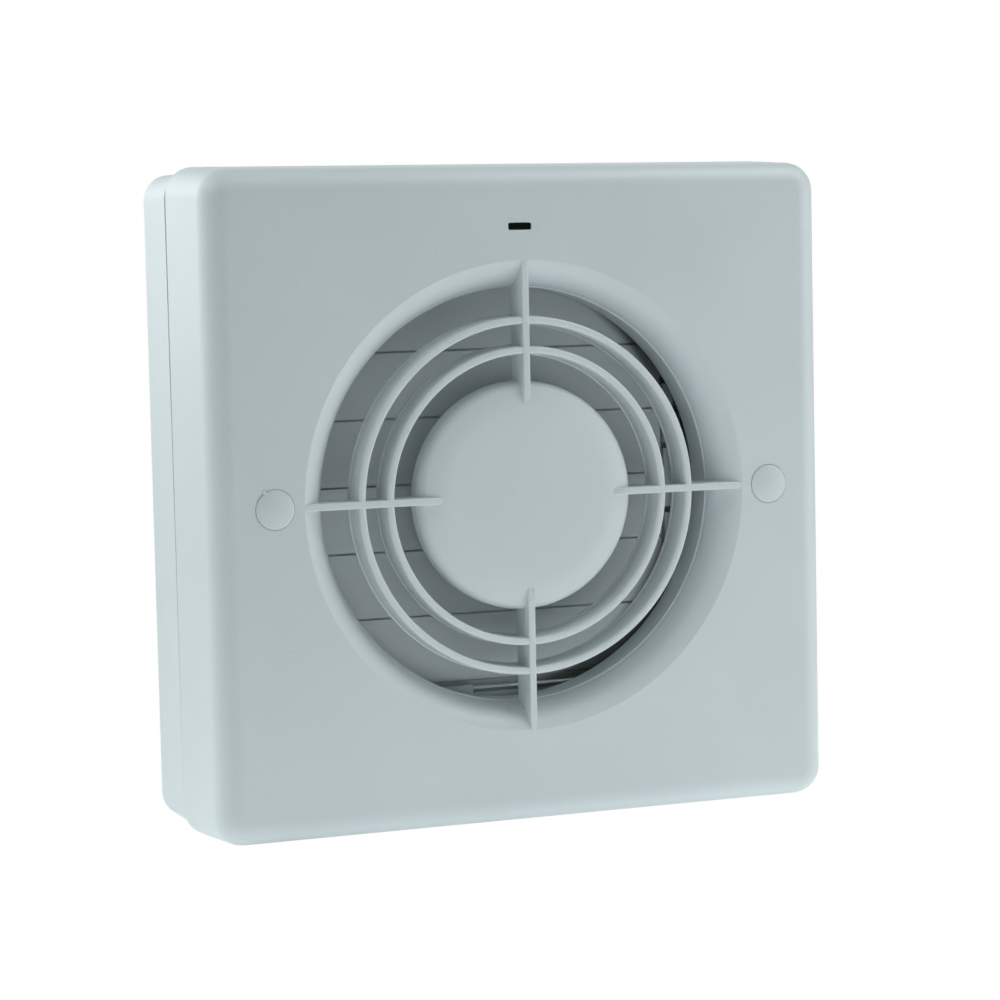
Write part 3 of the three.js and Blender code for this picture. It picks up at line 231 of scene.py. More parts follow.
def arc(centre, radii, start, end, steps):
    """Points on an arc from one angle to another, in degrees. The angle is measured from +radius to +y."""
    (x, y), (wide, high) = centre, radii
    angles = [math.radians(start + (end - start) * i / steps) for i in range(steps + 1)]
    return [(x + wide * math.cos(angle), y + high * math.sin(angle)) for angle in angles]


# %% [markdown]
# Pieces are joined and cut with the Boolean modifier, and sharp corners get a small round with the Bevel
# modifier, because no moulded or pressed edge is perfectly sharp and the round is what catches the light.
# `finish` smooths the shading, hangs the piece on the body that carries it and hides the plain piece it
# replaces.

# %% Join, cut, round and finish
def apply_modifier(piece, kind, **settings):
    modifier = piece.modifiers.new(kind.lower(), kind)
    for name, value in settings.items():
        setattr(modifier, name, value)
    choose(piece)
    bpy.ops.object.modifier_apply(modifier=modifier.name)
    return piece


def combine(piece, others, operation):
    for other in others:
        apply_modifier(piece, "BOOLEAN", operation=operation, solver="EXACT", object=other)
        bpy.data.objects.remove(other)
    return piece


def joined(piece, *others):
    return combine(piece, others, "UNION")


def cut(piece, *others):
    return combine(piece, others, "DIFFERENCE")


def soften(piece, width, segments=2):
    """Round every sharp edge."""
    with editing(piece):
        bpy.ops.mesh.remove_doubles(threshold=0.002 * MM)
        bpy.ops.mesh.dissolve_limited(angle_limit=math.radians(0.5))
    limit = {"limit_method": "ANGLE", "angle_limit": math.radians(35), "miter_outer": "MITER_ARC"}
    return apply_modifier(piece, "BEVEL", width=width * MM, segments=segments, **limit)


def finish(piece, material, node, body="casing", angle=40):
    """Shade a piece, give it its material, hang it on its body and hide the plain piece it replaces."""
    choose(piece)
    bpy.ops.object.shade_smooth_by_angle(angle=math.radians(angle))
    apply_modifier(piece, "WEIGHTED_NORMAL", keep_sharp=True, weight=80)
    piece.data.materials.clear()
    piece.data.materials.append(material)
    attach(piece, body)
    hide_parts(node)
    print(piece.name, len(piece.data.polygons), "faces on", body)


def copy_of(piece, name):
    """A copy with a mesh of its own."""
    choose(piece)
    bpy.ops.object.duplicate(linked=False)
    return named(name)


# %% [markdown]
# ## Camera
# The picture is taken with a long lens from the left of the fan and a little above its middle, so that
# the left side of the casing shows. Two of the camera's own axes are written out: where its right and
# its up point. The third points back, square to both, and the three axes and the place are the camera.

# %% The camera
CAMERA_PLACE = (-266.2, -709.9, 58.8)
CAMERA_RIGHT = Vector((0.93023, -0.36635, -0.02158))
CAMERA_UP = Vector((0.05057, 0.06971, 0.99628))
CAMERA_LENS, SENSOR_WIDTH = 107.44, 36

bpy.ops.object.camera_add()
camera = bpy.context.object
camera.name = "camera"
camera.data.lens = CAMERA_LENS
camera.data.sensor_width = SENSOR_WIDTH
camera_back = CAMERA_RIGHT.cross(CAMERA_UP)
axes = Matrix((CAMERA_RIGHT, CAMERA_UP, camera_back)).transposed().to_4x4()
camera.matrix_world = Matrix.Translation(metres(*CAMERA_PLACE)) @ axes
bpy.context.scene.camera = camera
print("camera at", CAMERA_PLACE, "with a lens of", CAMERA_LENS, "mm")

# %% [markdown]
# ## Light
# The fan is photographed on white. Three soft boxes hang close above it, two stand at its right, and the
# paper before it throws light up. The surroundings are dark towards the camera and bright behind the
# fan's left side, so the face is the darkest side and the left side the lightest. The camera itself sees
# plain white.

# %% One function adds every node, and a few name what the nodes do
def add_node(tree, kind, inputs=None, **settings):
    """Add a node, set its properties, and set or link its sockets by name or number."""
    node = tree.nodes.new("ShaderNode" + kind)
    for name, value in settings.items():
        setattr(node, name, value)
    for name, value in (inputs or {}).items():
        if isinstance(value, bpy.types.NodeSocket):
            tree.links.new(value, node.inputs[name])
        else:
            node.inputs[name].default_value = value
    return node


def result(tree, operation, *values):
    """The result of an operation on one or two numbers."""
    return add_node(tree, "Math", dict(enumerate(values)), operation=operation).outputs[0]


def vectors(tree, operation, *values):
    """The result of an operation on one or two vectors."""
    outputs = add_node(tree, "VectorMath", dict(enumerate(values)), operation=operation).outputs
    return outputs["Vector" if operation in ("ADD", "MULTIPLY") else "Value"]


def eased(tree, value, start, full, low, high):
    """Rise or fall softly from low to high while a value goes from start to full."""
    limits = {"Value": value, "From Min": start, "From Max": full, "To Min": low, "To Max": high}
    return add_node(tree, "MapRange", limits, interpolation_type="SMOOTHSTEP").outputs[0]


def mix(tree, share, one, other, **settings):
    """Two colours mixed by a share."""
    return add_node(tree, "Mix", {0: share, 6: one, 7: other}, data_type="RGBA", **settings).outputs[2]


def colour(code):
    """An sRGB hex code as the linear colour that a shader takes."""
    shares = [int(code[i : i + 2], 16) / 255 for i in (1, 3, 5)]
    linear = [s / 12.92 if s <= 0.04045 else ((s + 0.055) / 1.055) ** 2.4 for s in shares]
    return (*linear, 1)


def white_in_view(tree, kind, real):
    """What lights the fan as it is, but is plain white where the camera sees it."""
    white = add_node(tree, kind, {"Color": colour("#FFFFFF"), "Strength": 1.0})
    camera_ray = add_node(tree, "LightPath").outputs["Is Camera Ray"]
    return add_node(tree, "MixShader", {0: camera_ray, 1: real.outputs[0], 2: white.outputs[0]}).outputs[0]


# %% White surroundings with soft patches far behind the fan
DAYLIGHT = "#F1F8F9"
SURROUND = 0.075
PATCHES = [((-0.7, 0.7, 0), 2.4), ((-0.7, -0.7, 0), 0.21), ((0, 1, 0), 0.38), ((0.7, 0.7, 0), 0.27)]

world = bpy.data.worlds.new("studio")
bpy.context.scene.world = world
world.use_nodes = True
tree = world.node_tree
tree.nodes.clear()
direction = add_node(tree, "TexCoord").outputs["Generated"]
strength = SURROUND
for aim, power in PATCHES:
    near = vectors(tree, "DOT_PRODUCT", direction, Vector(aim).normalized())
    strength = result(tree, "ADD", strength, eased(tree, near, 0.55, 1.0, 0.0, power))
lit = add_node(tree, "Background", {"Color": colour(DAYLIGHT), "Strength": strength})
add_node(tree, "OutputWorld", {"Surface": white_in_view(tree, "Background", lit)})
bpy.context.scene.view_settings.view_transform = "Standard"
print("light from all sides", SURROUND, "and", len(PATCHES), "brighter patches")


# %% Soft lights overhead and at the right
def softbox(name, place, aim, size, power):
    """A square area light, in millimetres and watts, that faces a point and isn't seen itself."""
    bpy.ops.object.light_add(type="AREA", location=metres(*place))
    light = bpy.context.object
    light.name = name
    light.data.size = size * MM
    light.data.energy = power
    light.data.color = colour(DAYLIGHT)[:3]
    light.visible_camera = False
    light.rotation_euler = (metres(*aim) - light.location).to_track_quat("-Z", "Y").to_euler()


softbox("right_overhead_softbox", (350, -150, 450), (60, -50, 40), 350, 1.26)
softbox("left_overhead_softbox", (-400, -100, 450), (-60, -30, 40), 350, 0.97)
softbox("right_softbox", (500, -180, 40), (0, -50, 0), 400, 0.41)
softbox("low_right_softbox", (420, -330, 0), (20, -50, -20), 300, 0.27)
softbox("top_softbox", (0, -120, 450), (0, -50, 60), 350, 0.23)


# %% White paper under the fan that glows before it
def new_material(name):
    """A material with its node tree and its shader."""
    material = bpy.data.materials.new(name)
    material.use_nodes = True
    tree = material.node_tree
    return material, tree, tree.nodes["Principled BSDF"]


PAPER_HALF, PAPER_TOP, PAPER_BOTTOM = 6000, -80.2, -81
GLOW, GLOW_PLACE, GLOW_NEAR, GLOW_FAR = 0.4, (100, -200, -80), 100, 450
floor = block("floor", (-PAPER_HALF, -PAPER_HALF, PAPER_BOTTOM), (PAPER_HALF, PAPER_HALF, PAPER_TOP))
paper, tree, shader = new_material("white_paper")
place = add_node(tree, "NewGeometry").outputs["Position"]
far = vectors(tree, "DISTANCE", place, metres(*GLOW_PLACE))
shader.inputs["Base Color"].default_value = colour("#FDFDFD")
shader.inputs["Roughness"].default_value = 0.9
shader.inputs["Emission Color"].default_value = colour(DAYLIGHT)
glow = eased(tree, far, GLOW_NEAR * MM, GLOW_FAR * MM, GLOW, 0.0)
tree.links.new(glow, shader.inputs["Emission Strength"])
tree.links.new(white_in_view(tree, "Emission", shader), tree.nodes["Material Output"].inputs["Surface"])
floor.data.materials.append(paper)
print("floor below", PAPER_TOP, "mm")

# %% [markdown]
# ## Moulded plastics
# The casing, the flaps and the mechanism are injection moulded. ABS takes a satin polish from its mould,
# so its surface is smooth with a very fine grain, and its gloss varies a little from place to place. The
# flaps and the mechanism are plainer polypropylene. A moulding's colour is even, with a few faint specks
# and flow clouds some centimetres wide. The real grain is about 0.1 mm, too fine to show, so it is drawn
# at 0.5 mm.

# %% A satin moulded plastic
ABS_IOR, POLYPROPYLENE_IOR, ACRYLIC_IOR = 1.53, 1.49, 1.49
CLOUD, GRAIN, SPECK, POLISH = 35, 0.5, 1.1, 7
# Painted shade: a dark ring, wider at the right, where the throat ends just before the shutter
SHADE_RING_OFFSET = 9, 0, -3
SHADE_RING_BAND = 51.5, 55


def per(size):
    """The scale of a pattern whose features are this many millimetres wide."""
    return 1 / (size * MM)


def ramp(tree, factor, *stops):
    """A colour ramp through two (place, colour) stops. Returns its colour socket."""
    node = add_node(tree, "ValToRGB", {"Fac": factor})
    for element, (place, tone) in zip(node.color_ramp.elements, stops):
        element.position = place
        element.color = tone
    return node.outputs["Color"]


def noise(tree, place, size, detail):
    return add_node(tree, "TexNoise", {"Vector": place, "Scale": per(size), "Detail": detail}).outputs[0]


def vary_gloss(tree, shader, pattern, low, high):
    """Let the roughness follow a pattern between two limits."""
    gloss = add_node(tree, "MapRange", {"Value": pattern, "To Min": low, "To Max": high})
    tree.links.new(gloss.outputs[0], shader.inputs["Roughness"])


def emboss(tree, shader, pattern, strength):
    """Let a pattern stand out of the surface."""
    bump = add_node(tree, "Bump", {"Height": pattern, "Strength": strength, "Distance": 0.02 * MM})
    tree.links.new(bump.outputs[0], shader.inputs["Normal"])


def moulded(name, base, roughness=0.38, ior=ABS_IOR, specks=0.5, painted_shade=0):
    """A moulded plastic: its colour, gloss and fine grain, and a share of painted shade round the throat."""
    material, tree, shader = new_material(name)
    place = add_node(tree, "TexCoord").outputs["Object"]
    r, g, b, _ = colour(base)

    def shade(share):
        return r * share, g * share, b * share, 1

    tone = ramp(tree, noise(tree, place, CLOUD, 2.0), (0.3, shade(0.965)), (0.7, shade(1)))
    speck = ramp(tree, noise(tree, place, SPECK, 1.0), (0.19, (1, 1, 1, 1)), (0.26, (0, 0, 0, 1)))
    tone = mix(tree, result(tree, "MULTIPLY", speck, 0.22 * specks), tone, shade(0.4))
    # Painted shade: darker outside a ring round the throat, off-centre to the right
    if painted_shade:
        aside = vectors(tree, "ADD", place, metres(*SHADE_RING_OFFSET))
        out = vectors(tree, "LENGTH", vectors(tree, "MULTIPLY", aside, (1, 0, 1)))
        tone = mix(tree, eased(tree, out, *metres(*SHADE_RING_BAND), 0.0, painted_shade), tone, shade(0.06))
    tree.links.new(tone, shader.inputs["Base Color"])
    vary_gloss(tree, shader, noise(tree, place, POLISH, 3.0), roughness - 0.05, roughness + 0.05)
    emboss(tree, shader, noise(tree, place, GRAIN, 2.0), 0.25)
    shader.inputs["IOR"].default_value = ior
    return material


# %% The fan's own mouldings
# White ABS, polished mould: a soft sheen, and bright lines where an edge turns away
white_abs = moulded("white_satin_abs", "#DDE4E6")
# The rear housing is the same plastic in a slightly plainer mould
housing_abs = moulded("white_housing_abs", "#DFE6E8", 0.42)
# Flaps of thin polypropylene: greyer in the shade of the throat, waxy rather than glossy
flap_plastic = moulded("grey_white_polypropylene", "#D6DDDF", 0.45, POLYPROPYLENE_IOR, painted_shade=0.9)
# The shutter's frame and mechanism: darker grey polypropylene, with painted shade outside a ring round the
# throat
frame_plastic = moulded("grey_moulded_polypropylene", "#C3CBCD", 0.48, POLYPROPYLENE_IOR, painted_shade=0.7)
print("moulded plastics:", [m.name for m in (white_abs, housing_abs, flap_plastic, frame_plastic)])

# %% [markdown]
# ## Front cover
# The cover is one large moulding: a shallow square tray, with a bell-mouth in its face and a grille
# across the throat. The tray is a block that leans in towards the front. Its long edges are bevelled to
# the corner radius and its front edge to the softer round, and the same shape, one wall smaller, is cut
# out of it.

# %% The cover's tray
FRONT, SEAM = -50, -22
WALL = 2.5
COVER_HALF, COVER_REAR = 80, SEAM - 0.2
DRAFT = 1.4
CORNER, FACE_ROUND = 6.8, 5.8
low, high = (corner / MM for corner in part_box("front_cover"))
print("front cover runs from", low, "to", high)


def square_shell(name, half, corner, rounding, front, back):
    """A square block with rounded long edges and a rounded front edge, a little smaller at the front."""
    piece = block(name, (-half, front, -half), (half, back, half))
    with editing(piece):
        pick("FACE", at(1, front))
        shrink = (half - DRAFT) / half
        bpy.ops.transform.resize(value=(shrink, 1, shrink))
        pick("EDGE", along(1))
        bevel(corner, 10)
        pick("EDGE", at(1, front))
        bevel(rounding, 8)
    return piece


cover = square_shell("cover_moulding", COVER_HALF, CORNER, FACE_ROUND, FRONT, COVER_REAR)
inner = COVER_HALF - WALL, CORNER - WALL, FACE_ROUND - WALL, FRONT + WALL, COVER_REAR + 2
cut(cover, square_shell("cover_hollow", *inner))
print("tray:", len(cover.data.polygons), "faces")

# %% [markdown]
# The bell-mouth, the hub and the two rings are round, so each is turned from its section. The bell-mouth
# leaves the face without an edge and bends into the throat, where a fine step marks the end of the
# radius.

# %% Bell-mouth, hub and rings
MOUTH, COLLAR, THROAT, LAND = 56.4, 57.5, 50, 0.35
MOUTH_CENTRE, MOUTH_BEND = (58.82, FRONT + 13.33), (9.34, 13.8)
MOUTH_DEPTH = 7.5
MOUTH_END, THROAT_END = FRONT + MOUTH_DEPTH, FRONT + 15.5
HUB, HUB_FLAT, HUB_BEND = 27.5, 20, 13.3
GRILLE_END = FRONT + 8

mouth = turned("bell_mouth", [
    (COLLAR, FRONT), (MOUTH, FRONT), *arc(MOUTH_CENTRE, MOUTH_BEND, -105, -155, 16),
    (THROAT + LAND, MOUTH_END + 0.4), (THROAT, MOUTH_END + 0.7), (THROAT, THROAT_END),
    (THROAT + 2, THROAT_END), (THROAT + 2, MOUTH_END),
    *arc((THROAT + 5.7, MOUTH_END), (3.7, MOUTH_DEPTH - WALL), -180, -90, 8)[1:],
    (COLLAR, FRONT + WALL), (COLLAR, FRONT),
], sides=192)

hub = turned("grille_hub", [
    (0, FRONT + 0.15), (HUB_FLAT - 0.8, FRONT + 0.2),
    *arc((HUB_FLAT, FRONT + 0.22 + HUB_BEND), (HUB_BEND, HUB_BEND), -90, -68, 8),
    *arc((HUB - 2.2, FRONT + 4.95), (2.2, 3.6), -78, 0, 11),
    (HUB, GRILLE_END - 0.4), (HUB - 0.4, GRILLE_END), (HUB - 1.6, GRILLE_END), (HUB - 2, GRILLE_END - 0.4),
    *arc((HUB_FLAT, FRONT + 6), (3.5, 4), 0, -90, 8), (0, FRONT + 2),
], sides=144)


def ring(radius):
    """A ring of the grille: a round front, and walls with a fine bead at the back."""
    outer = arc((radius + 0.25, FRONT + 0.95), (0.65, 0.85), -90, 0, 7)
    nose = [*[(2 * radius - r, y) for r, y in reversed(outer)], *outer]
    bead = [(1, 0.9), (1.25, 0.75), (1.25, 0.2), (1.05, 0)]
    back = [(radius + out, GRILLE_END - depth) for out, depth in bead]
    mirrored = [(2 * radius - r, y) for r, y in reversed(back)]
    return turned("grille_ring", [*nose, *back, *mirrored, nose[0]], sides=160)


rings = [ring(radius) for radius in (42.1, 35)]

# %% [markdown]
# Four fins carry the hub and the rings. One fin is a thin block with rounded ends and softened front
# edges, and its front slopes up out of the hub. It is copied and turned, and all is joined into one
# moulding with the tray.

# %% Fins
FIN_HALF, FIN_START, FIN_RAMP = 0.85, HUB_FLAT + 1.4, 3.5
fin = block("grille_fin", (FIN_START, FRONT - 0.03, -FIN_HALF), (MOUTH, GRILLE_END, FIN_HALF))
with editing(fin):
    bpy.ops.mesh.bisect(plane_co=metres(FIN_START + FIN_RAMP, 0, 0), plane_no=(1, 0, 0))
    pick("EDGE", lambda edge: along(1)(edge) and not at(0, FIN_START + FIN_RAMP)(edge))
    bevel(0.8, 5)
    pick("VERT", lambda v: v.co.x < (FIN_START + 1) * MM and v.co.y < FRONT * MM)
    bpy.ops.transform.translate(value=metres(0, 0.5, 0))
    pick("EDGE", lambda edge: all(v.co.y < (FRONT + 1) * MM for v in edge.verts))
    bevel(0.3, 3)
fins = [fin] + [turn(copy_of(fin, "grille_fin"), 90 * i) for i in (1, 2, 3)]
cut(cover, hole("Y", COLLAR - 0.4, FRONT - 2, FRONT + WALL + 2, sides=192))
joined(cover, mouth)
joined(hub, *rings, *fins)
joined(cover, hub)
print("cover with grille:", len(cover.data.polygons), "faces")

# %% [markdown]
# Two bosses behind the face take the screws. Each has a deep hole for the screw and a shallow round seat
# for its cap, and above the grille there is a narrow window slot.

# %% Screw bosses, cap seats and window slot
CAP, CAP_SEAT, CAP_X = 4.68, 4.78, 63.6
CAP_PLACES = [(-CAP_X, 0), (CAP_X, 0)]
WINDOW = WINDOW_X, WINDOW_Z = -1.1, 64.4


def window_block(name, grow, front, back, rounding):
    """A block with rounded corners over the window slot, grown by a margin."""
    half_width, half_height = 3 + grow, 0.875 + grow
    low = (WINDOW_X - half_width, front, WINDOW_Z - half_height)
    high = (WINDOW_X + half_width, back, WINDOW_Z + half_height)
    return rounded(block(name, low, high), 1, rounding, 5)


joined(cover, *[rod("boss", "Y", 6, FRONT + WALL / 2, FRONT + 16, place) for place in CAP_PLACES])
for place in CAP_PLACES:
    seat = hole("Y", CAP_SEAT, FRONT - 1, FRONT + 0.6, place, 96)
    well = hole("Y", 4, FRONT - 1, FRONT + 14, place, 64)
    cut(cover, seat, well, hole("Y", 1.7, FRONT, FRONT + 18, place, 48))
cut(cover, window_block("window_slot", 0, FRONT - 1, FRONT + WALL + 1, 0.5))
finish(cover, white_abs, "front_cover", "cover", 35)

# %% [markdown]
# ## Screw caps and indicator window
# Each cap is a shallow dome that covers a screw. It is turned like the hub. The left one still has the
# nib where it was cut from its sprue. The window is a slip of smoked acrylic with a flange behind the
# face.

# %% Caps
CAP_DOME, CAP_TOP = 15.7, FRONT - 0.9
cap = turned("cap", [
    (0, CAP_TOP), *arc((0, CAP_TOP + CAP_DOME), (CAP_DOME, CAP_DOME), -90, -73.5, 10)[1:],
    (CAP - 0.03, FRONT - 0.12), (CAP, FRONT), (CAP, FRONT + 0.2), (CAP - 0.08, FRONT + 0.3),
    (3.8, FRONT + 0.3), (3.7, FRONT + 0.5), (3.7, FRONT + 4.7), (3.4, FRONT + 5), (2.7, FRONT + 5),
    (2.7, FRONT + 1), (0, FRONT + 1),
], sides=96)
cap_right = move(copy_of(cap, "cap_dome_right"), CAP_X, 0, 0)
cap.name = "cap_dome_left"
joined(cap, turn(block("nib", (4.2, FRONT - 0.42, -0.35), (5.25, FRONT - 0.04, 0.35)), -122))
finish(move(cap, -CAP_X, 0, 0), white_abs, "screw_cap_left", "cap_left")
finish(cap_right, white_abs, "screw_cap_right", "cap_right")


# %% Smoked window
def clear_plastic(name, base, roughness):
    """Clear acrylic or glass: glossy, with a faint haze."""
    material, tree, shader = new_material(name)
    shader.inputs["Base Color"].default_value = colour(base)
    shader.inputs["IOR"].default_value = ACRYLIC_IOR
    place = add_node(tree, "TexCoord").outputs["Object"]
    vary_gloss(tree, shader, noise(tree, place, 2, 2.0), roughness - 0.04, roughness + 0.06)
    return material


# Acrylic that is tinted so dark that hardly any light comes through
smoked_acrylic = clear_plastic("smoked_acrylic", "#07090A", 0.12)
lens = window_block("window_lens", -0.04, FRONT + 0.5, FRONT + WALL + 1.5, 0.45)
joined(lens, window_block("window_flange", 1.8, FRONT + WALL + 0.3, FRONT + WALL + 1.5, 0.8))
finish(soften(lens, 0.12), smoked_acrylic, "indicator_window", "cover")

# %% [markdown]
# ## Shutter flaps
# Six flaps close the throat. Each is a thin blade that hangs from a round barrel, with a pin at both
# ends. Outside the web a small crank reaches back to the link bar. One flap is built at the duct's axis
# and copied.

# %% One flap
PIVOT_Y = -31.75
FLAP_LEFT, FLAP_RIGHT = -51.6, 42.2
FLAP_REACH, FLAP_TOP, FLAP_PITCH = 14.35, 48.8, 16.05
FLAP_HEIGHTS = [FLAP_TOP - number * FLAP_PITCH for number in range(6)]
BLADE_FRONT, BLADE_BACK = PIVOT_Y - 1.25, PIVOT_Y + 0.15
GROOVE = PIVOT_Y - 0.3
CRANK_PIN = (PIVOT_Y + 4.596, -3.857)
CRANK_LEFT, CRANK_RIGHT = 46.0, 47.4
BAR_LEFT, BAR_RIGHT = 47.7, 49.5

blade = extruded("flap_blade", "X", [
    (BLADE_FRONT, 1.9), (BLADE_FRONT + 0.05, 1.98), (BLADE_FRONT + 0.2, 1.98), (BLADE_FRONT + 0.25, 1.4),
    (GROOVE, 1.35), *[(PIVOT_Y + y, z) for y, z in arc((0, 0), (1.25, 1.25), 80, -45, 11)],
    (BLADE_BACK, -1.5), (BLADE_BACK, 0.15 - FLAP_REACH), (BLADE_BACK - 0.1, -FLAP_REACH),
    (GROOVE + 0.1, -FLAP_REACH), (GROOVE, 0.1 - FLAP_REACH), (GROOVE, 0.7 - FLAP_REACH),
    (BLADE_FRONT, 0.78 - FLAP_REACH),
], FLAP_LEFT, FLAP_RIGHT)
ribs = [
    block("flap_rib", (x - 0.5, BLADE_FRONT + 1, -FLAP_REACH + 2), (x + 0.5, BLADE_FRONT + 2.4, -1))
    for x in (FLAP_LEFT + 1, -20, 11, FLAP_RIGHT - 1)
]
pins = [
    rod("flap_pin", "X", 0.9, -54.4, FLAP_LEFT + 1, (PIVOT_Y, 0), 32),
    rod("flap_pin", "X", 0.9, FLAP_RIGHT - 1, CRANK_LEFT + 0.7, (PIVOT_Y, 0), 32),
]
crank_outline = [*arc((0, 0), (1.5, 1.5), 90, 270, 12), *arc((6, 0), (1.5, 1.5), -90, 90, 12)]
crank = soften(extruded("flap_crank", "X", crank_outline, CRANK_LEFT, CRANK_RIGHT), 0.2)
move(turn(crank, -40, "X"), 0, PIVOT_Y, 0)
crank_pin = rod("crank_pin", "X", 0.9, CRANK_LEFT + 0.7, BAR_RIGHT + 0.3, CRANK_PIN, 32)
joined(blade, *ribs, *pins, crank, crank_pin)
print("one flap:", len(blade.data.polygons), "faces")

# %% Six flaps on their pivots
for number, height in enumerate(FLAP_HEIGHTS, 1):
    flap = move(copy_of(blade, f"flap_blade_{number}"), 0, 0, height)
    finish(flap, flap_plastic, f"shutter_flap_{number}", f"flap_{number}")
bpy.data.objects.remove(blade)

# %% [markdown]
# ## Shutter frame
# The frame is a moulded box round the flaps, with a web that carries their right-hand pins, a plate below
# for the actuator and four lugs for its screws. It is built up from blocks and rods like the wooden
# pattern of a casting, and then the openings, slots and screw holes are cut.

# %% The box, the web and the plate
FRAME_FRONT, FRAME_BACK, FRAME_WALL = -34.2, -21.7, 2
FRAME_LEFT, FRAME_RIGHT, FRAME_TOP, FRAME_BOTTOM = -52.4, 53, 54.857, -48.8
# Places that lie inside the walls, so that what is joined to them has no gap
ROOT_LEFT, ROOT_RIGHT = FRAME_LEFT - 1, FRAME_RIGHT + 1
ROOT_TOP, ROOT_BOTTOM = FRAME_TOP + 1, FRAME_BOTTOM - 1
WEB_LEFT, WEB_RIGHT = 42.8, 45.4
PLATE_FRONT = FRAME_BACK - 2
PLATE_LEFT, PLATE_RIGHT, PLATE_BOTTOM = -62.2, 62.8, -65.9
EAR_LEFT, EAR_RIGHT, EAR_TOP = -7.1, 4.9, 70.4
LUG, LUG_X, LUG_Z = 4.5, 59, 38
LUG_PLACES = [(-LUG_X, LUG_Z), (LUG_X, LUG_Z), (-LUG_X, -LUG_Z), (LUG_X, -LUG_Z)]
ROD_Y, ROD_Z = -33.2, -47.7
ACTUATOR_LEFT, ACTUATOR_RIGHT, ACTUATOR_Z = -60.2, -25.2, -56.9
BELL_X, BELL_Z = BELL = 56.4, -54.99
BELL_FRONT, BELL_BACK = -32.1, -30.1

shutter_frame = block(
    "shutter_frame_moulding",
    (FRAME_LEFT - FRAME_WALL, FRAME_FRONT, FRAME_BOTTOM - FRAME_WALL),
    (FRAME_RIGHT + FRAME_WALL, FRAME_BACK, FRAME_TOP + FRAME_WALL),
)
opening = (FRAME_LEFT, FRAME_FRONT - 1, FRAME_BOTTOM), (FRAME_RIGHT, FRAME_BACK + 1, FRAME_TOP)
cut(shutter_frame, block("frame_opening", *opening))
web = block("pivot_web", (WEB_LEFT, FRAME_FRONT + 0.5, ROOT_BOTTOM), (WEB_RIGHT, FRAME_BACK, ROOT_TOP))
plate = (PLATE_LEFT, PLATE_FRONT, PLATE_BOTTOM), (PLATE_RIGHT, FRAME_BACK, ROOT_BOTTOM)
plate = rounded(block("frame_plate", *plate), 1, 3, 6, at(2, PLATE_BOTTOM))
ear = (EAR_LEFT, PLATE_FRONT, ROOT_TOP), (EAR_RIGHT, FRAME_BACK, EAR_TOP)
ear = rounded(block("lamp_ear", *ear), 1, 3, 6, at(2, EAR_TOP))
lugs = []
for x, edge in ((-LUG_X, ROOT_LEFT), (LUG_X, ROOT_RIGHT)):
    for z in (-LUG_Z, LUG_Z):
        lugs.append(rod("frame_lug", "Y", LUG, PLATE_FRONT, FRAME_BACK, (x, z), 64))
        root = (min(x, edge), PLATE_FRONT, z - LUG), (max(x, edge), FRAME_BACK, z + LUG)
        lugs.append(block("lug_root", *root))
rail = block("stop_rail", (ROOT_LEFT, -31, ROOT_BOTTOM), (WEB_LEFT + 1, -29.6, -46.1))
guide = block("rod_guide", (-12, ROD_Y - 0.8, ROOT_BOTTOM), (-9.5, ROD_Y + 1.1, -46.75))
bell_boss = rod("bell_crank_boss", "Y", 2.2, BELL_BACK + 0.3, PLATE_FRONT + 1, BELL)
joined(shutter_frame, web, plate, ear, *lugs, rail, guide, bell_boss)

# %% [markdown]
# Two saddles grip the actuator from behind. The pivots lie in slots that are open at the back, so that
# the flaps can be pressed in, and the web has a small notch in front below every pivot.

# %% Saddles, pivot slots, notches and screw holes
for left in (ACTUATOR_LEFT + 6, ACTUATOR_LEFT + 24):
    saddle = (left, ROD_Y - 0.8, ACTUATOR_Z - 6.3), (left + 4, PLATE_FRONT + 1, ROOT_BOTTOM)
    bore = hole("X", 5.3, left - 1, left + 5, (ROD_Y, ACTUATOR_Z), 64)
    joined(shutter_frame, cut(block("saddle", *saddle), bore))
cutters = []
for z in FLAP_HEIGHTS:
    for start, end in ((FRAME_LEFT - 3, FRAME_LEFT + 1), (WEB_LEFT - 1, WEB_RIGHT + 1)):
        cutters.append(hole("X", 1.2, start, end, (PIVOT_Y, z)))
        cutters.append(block("pivot_slot", (start, PIVOT_Y, z - 1.2), (end, FRAME_BACK + 1, z + 1.2)))
    middle = z - FLAP_REACH / 2
    notch = (WEB_LEFT - 1, FRAME_FRONT, middle - 0.75), (WEB_RIGHT + 1, FRAME_FRONT + 3.6, middle + 0.75)
    cutters.append(block("web_notch", *notch))
cutters += holes("Y", 1.6, PLATE_FRONT - 1, FRAME_BACK + 1, LUG_PLACES)
cutters.append(hole("Y", 1.8, PLATE_FRONT - 1, FRAME_BACK + 1, WINDOW))
cutters.append(hole("Y", 1.5, BELL_BACK, PLATE_FRONT, BELL))
cutters.append(hole("X", 0.65, -22, FRAME_RIGHT + 3, (ROD_Y, ROD_Z)))
leg_room = (-22, FRAME_FRONT - 1, FRAME_BOTTOM - 3), (-12.3, ROD_Y + 1.1, FRAME_BOTTOM + 1)
cutters.append(block("leg_room", *leg_room))
bell_room = (WEB_RIGHT, FRAME_FRONT - 1, -64.05), (PLATE_RIGHT + 1, PLATE_FRONT - 0.3, -44.5)
boss_left_in = rod("boss_left_in", "Y", 2.2, BELL_BACK, PLATE_FRONT, BELL)
cutters.append(cut(block("bell_room", *bell_room), boss_left_in))
cut(shutter_frame, *cutters)
rod_cover = (-24, FRAME_FRONT + 0.05, ROOT_BOTTOM), (-9.6, ROD_Y - 0.65, -46.85)
joined(shutter_frame, block("rod_cover", *rod_cover))
finish(soften(shutter_frame, 0.25), frame_plastic, "shutter_frame")

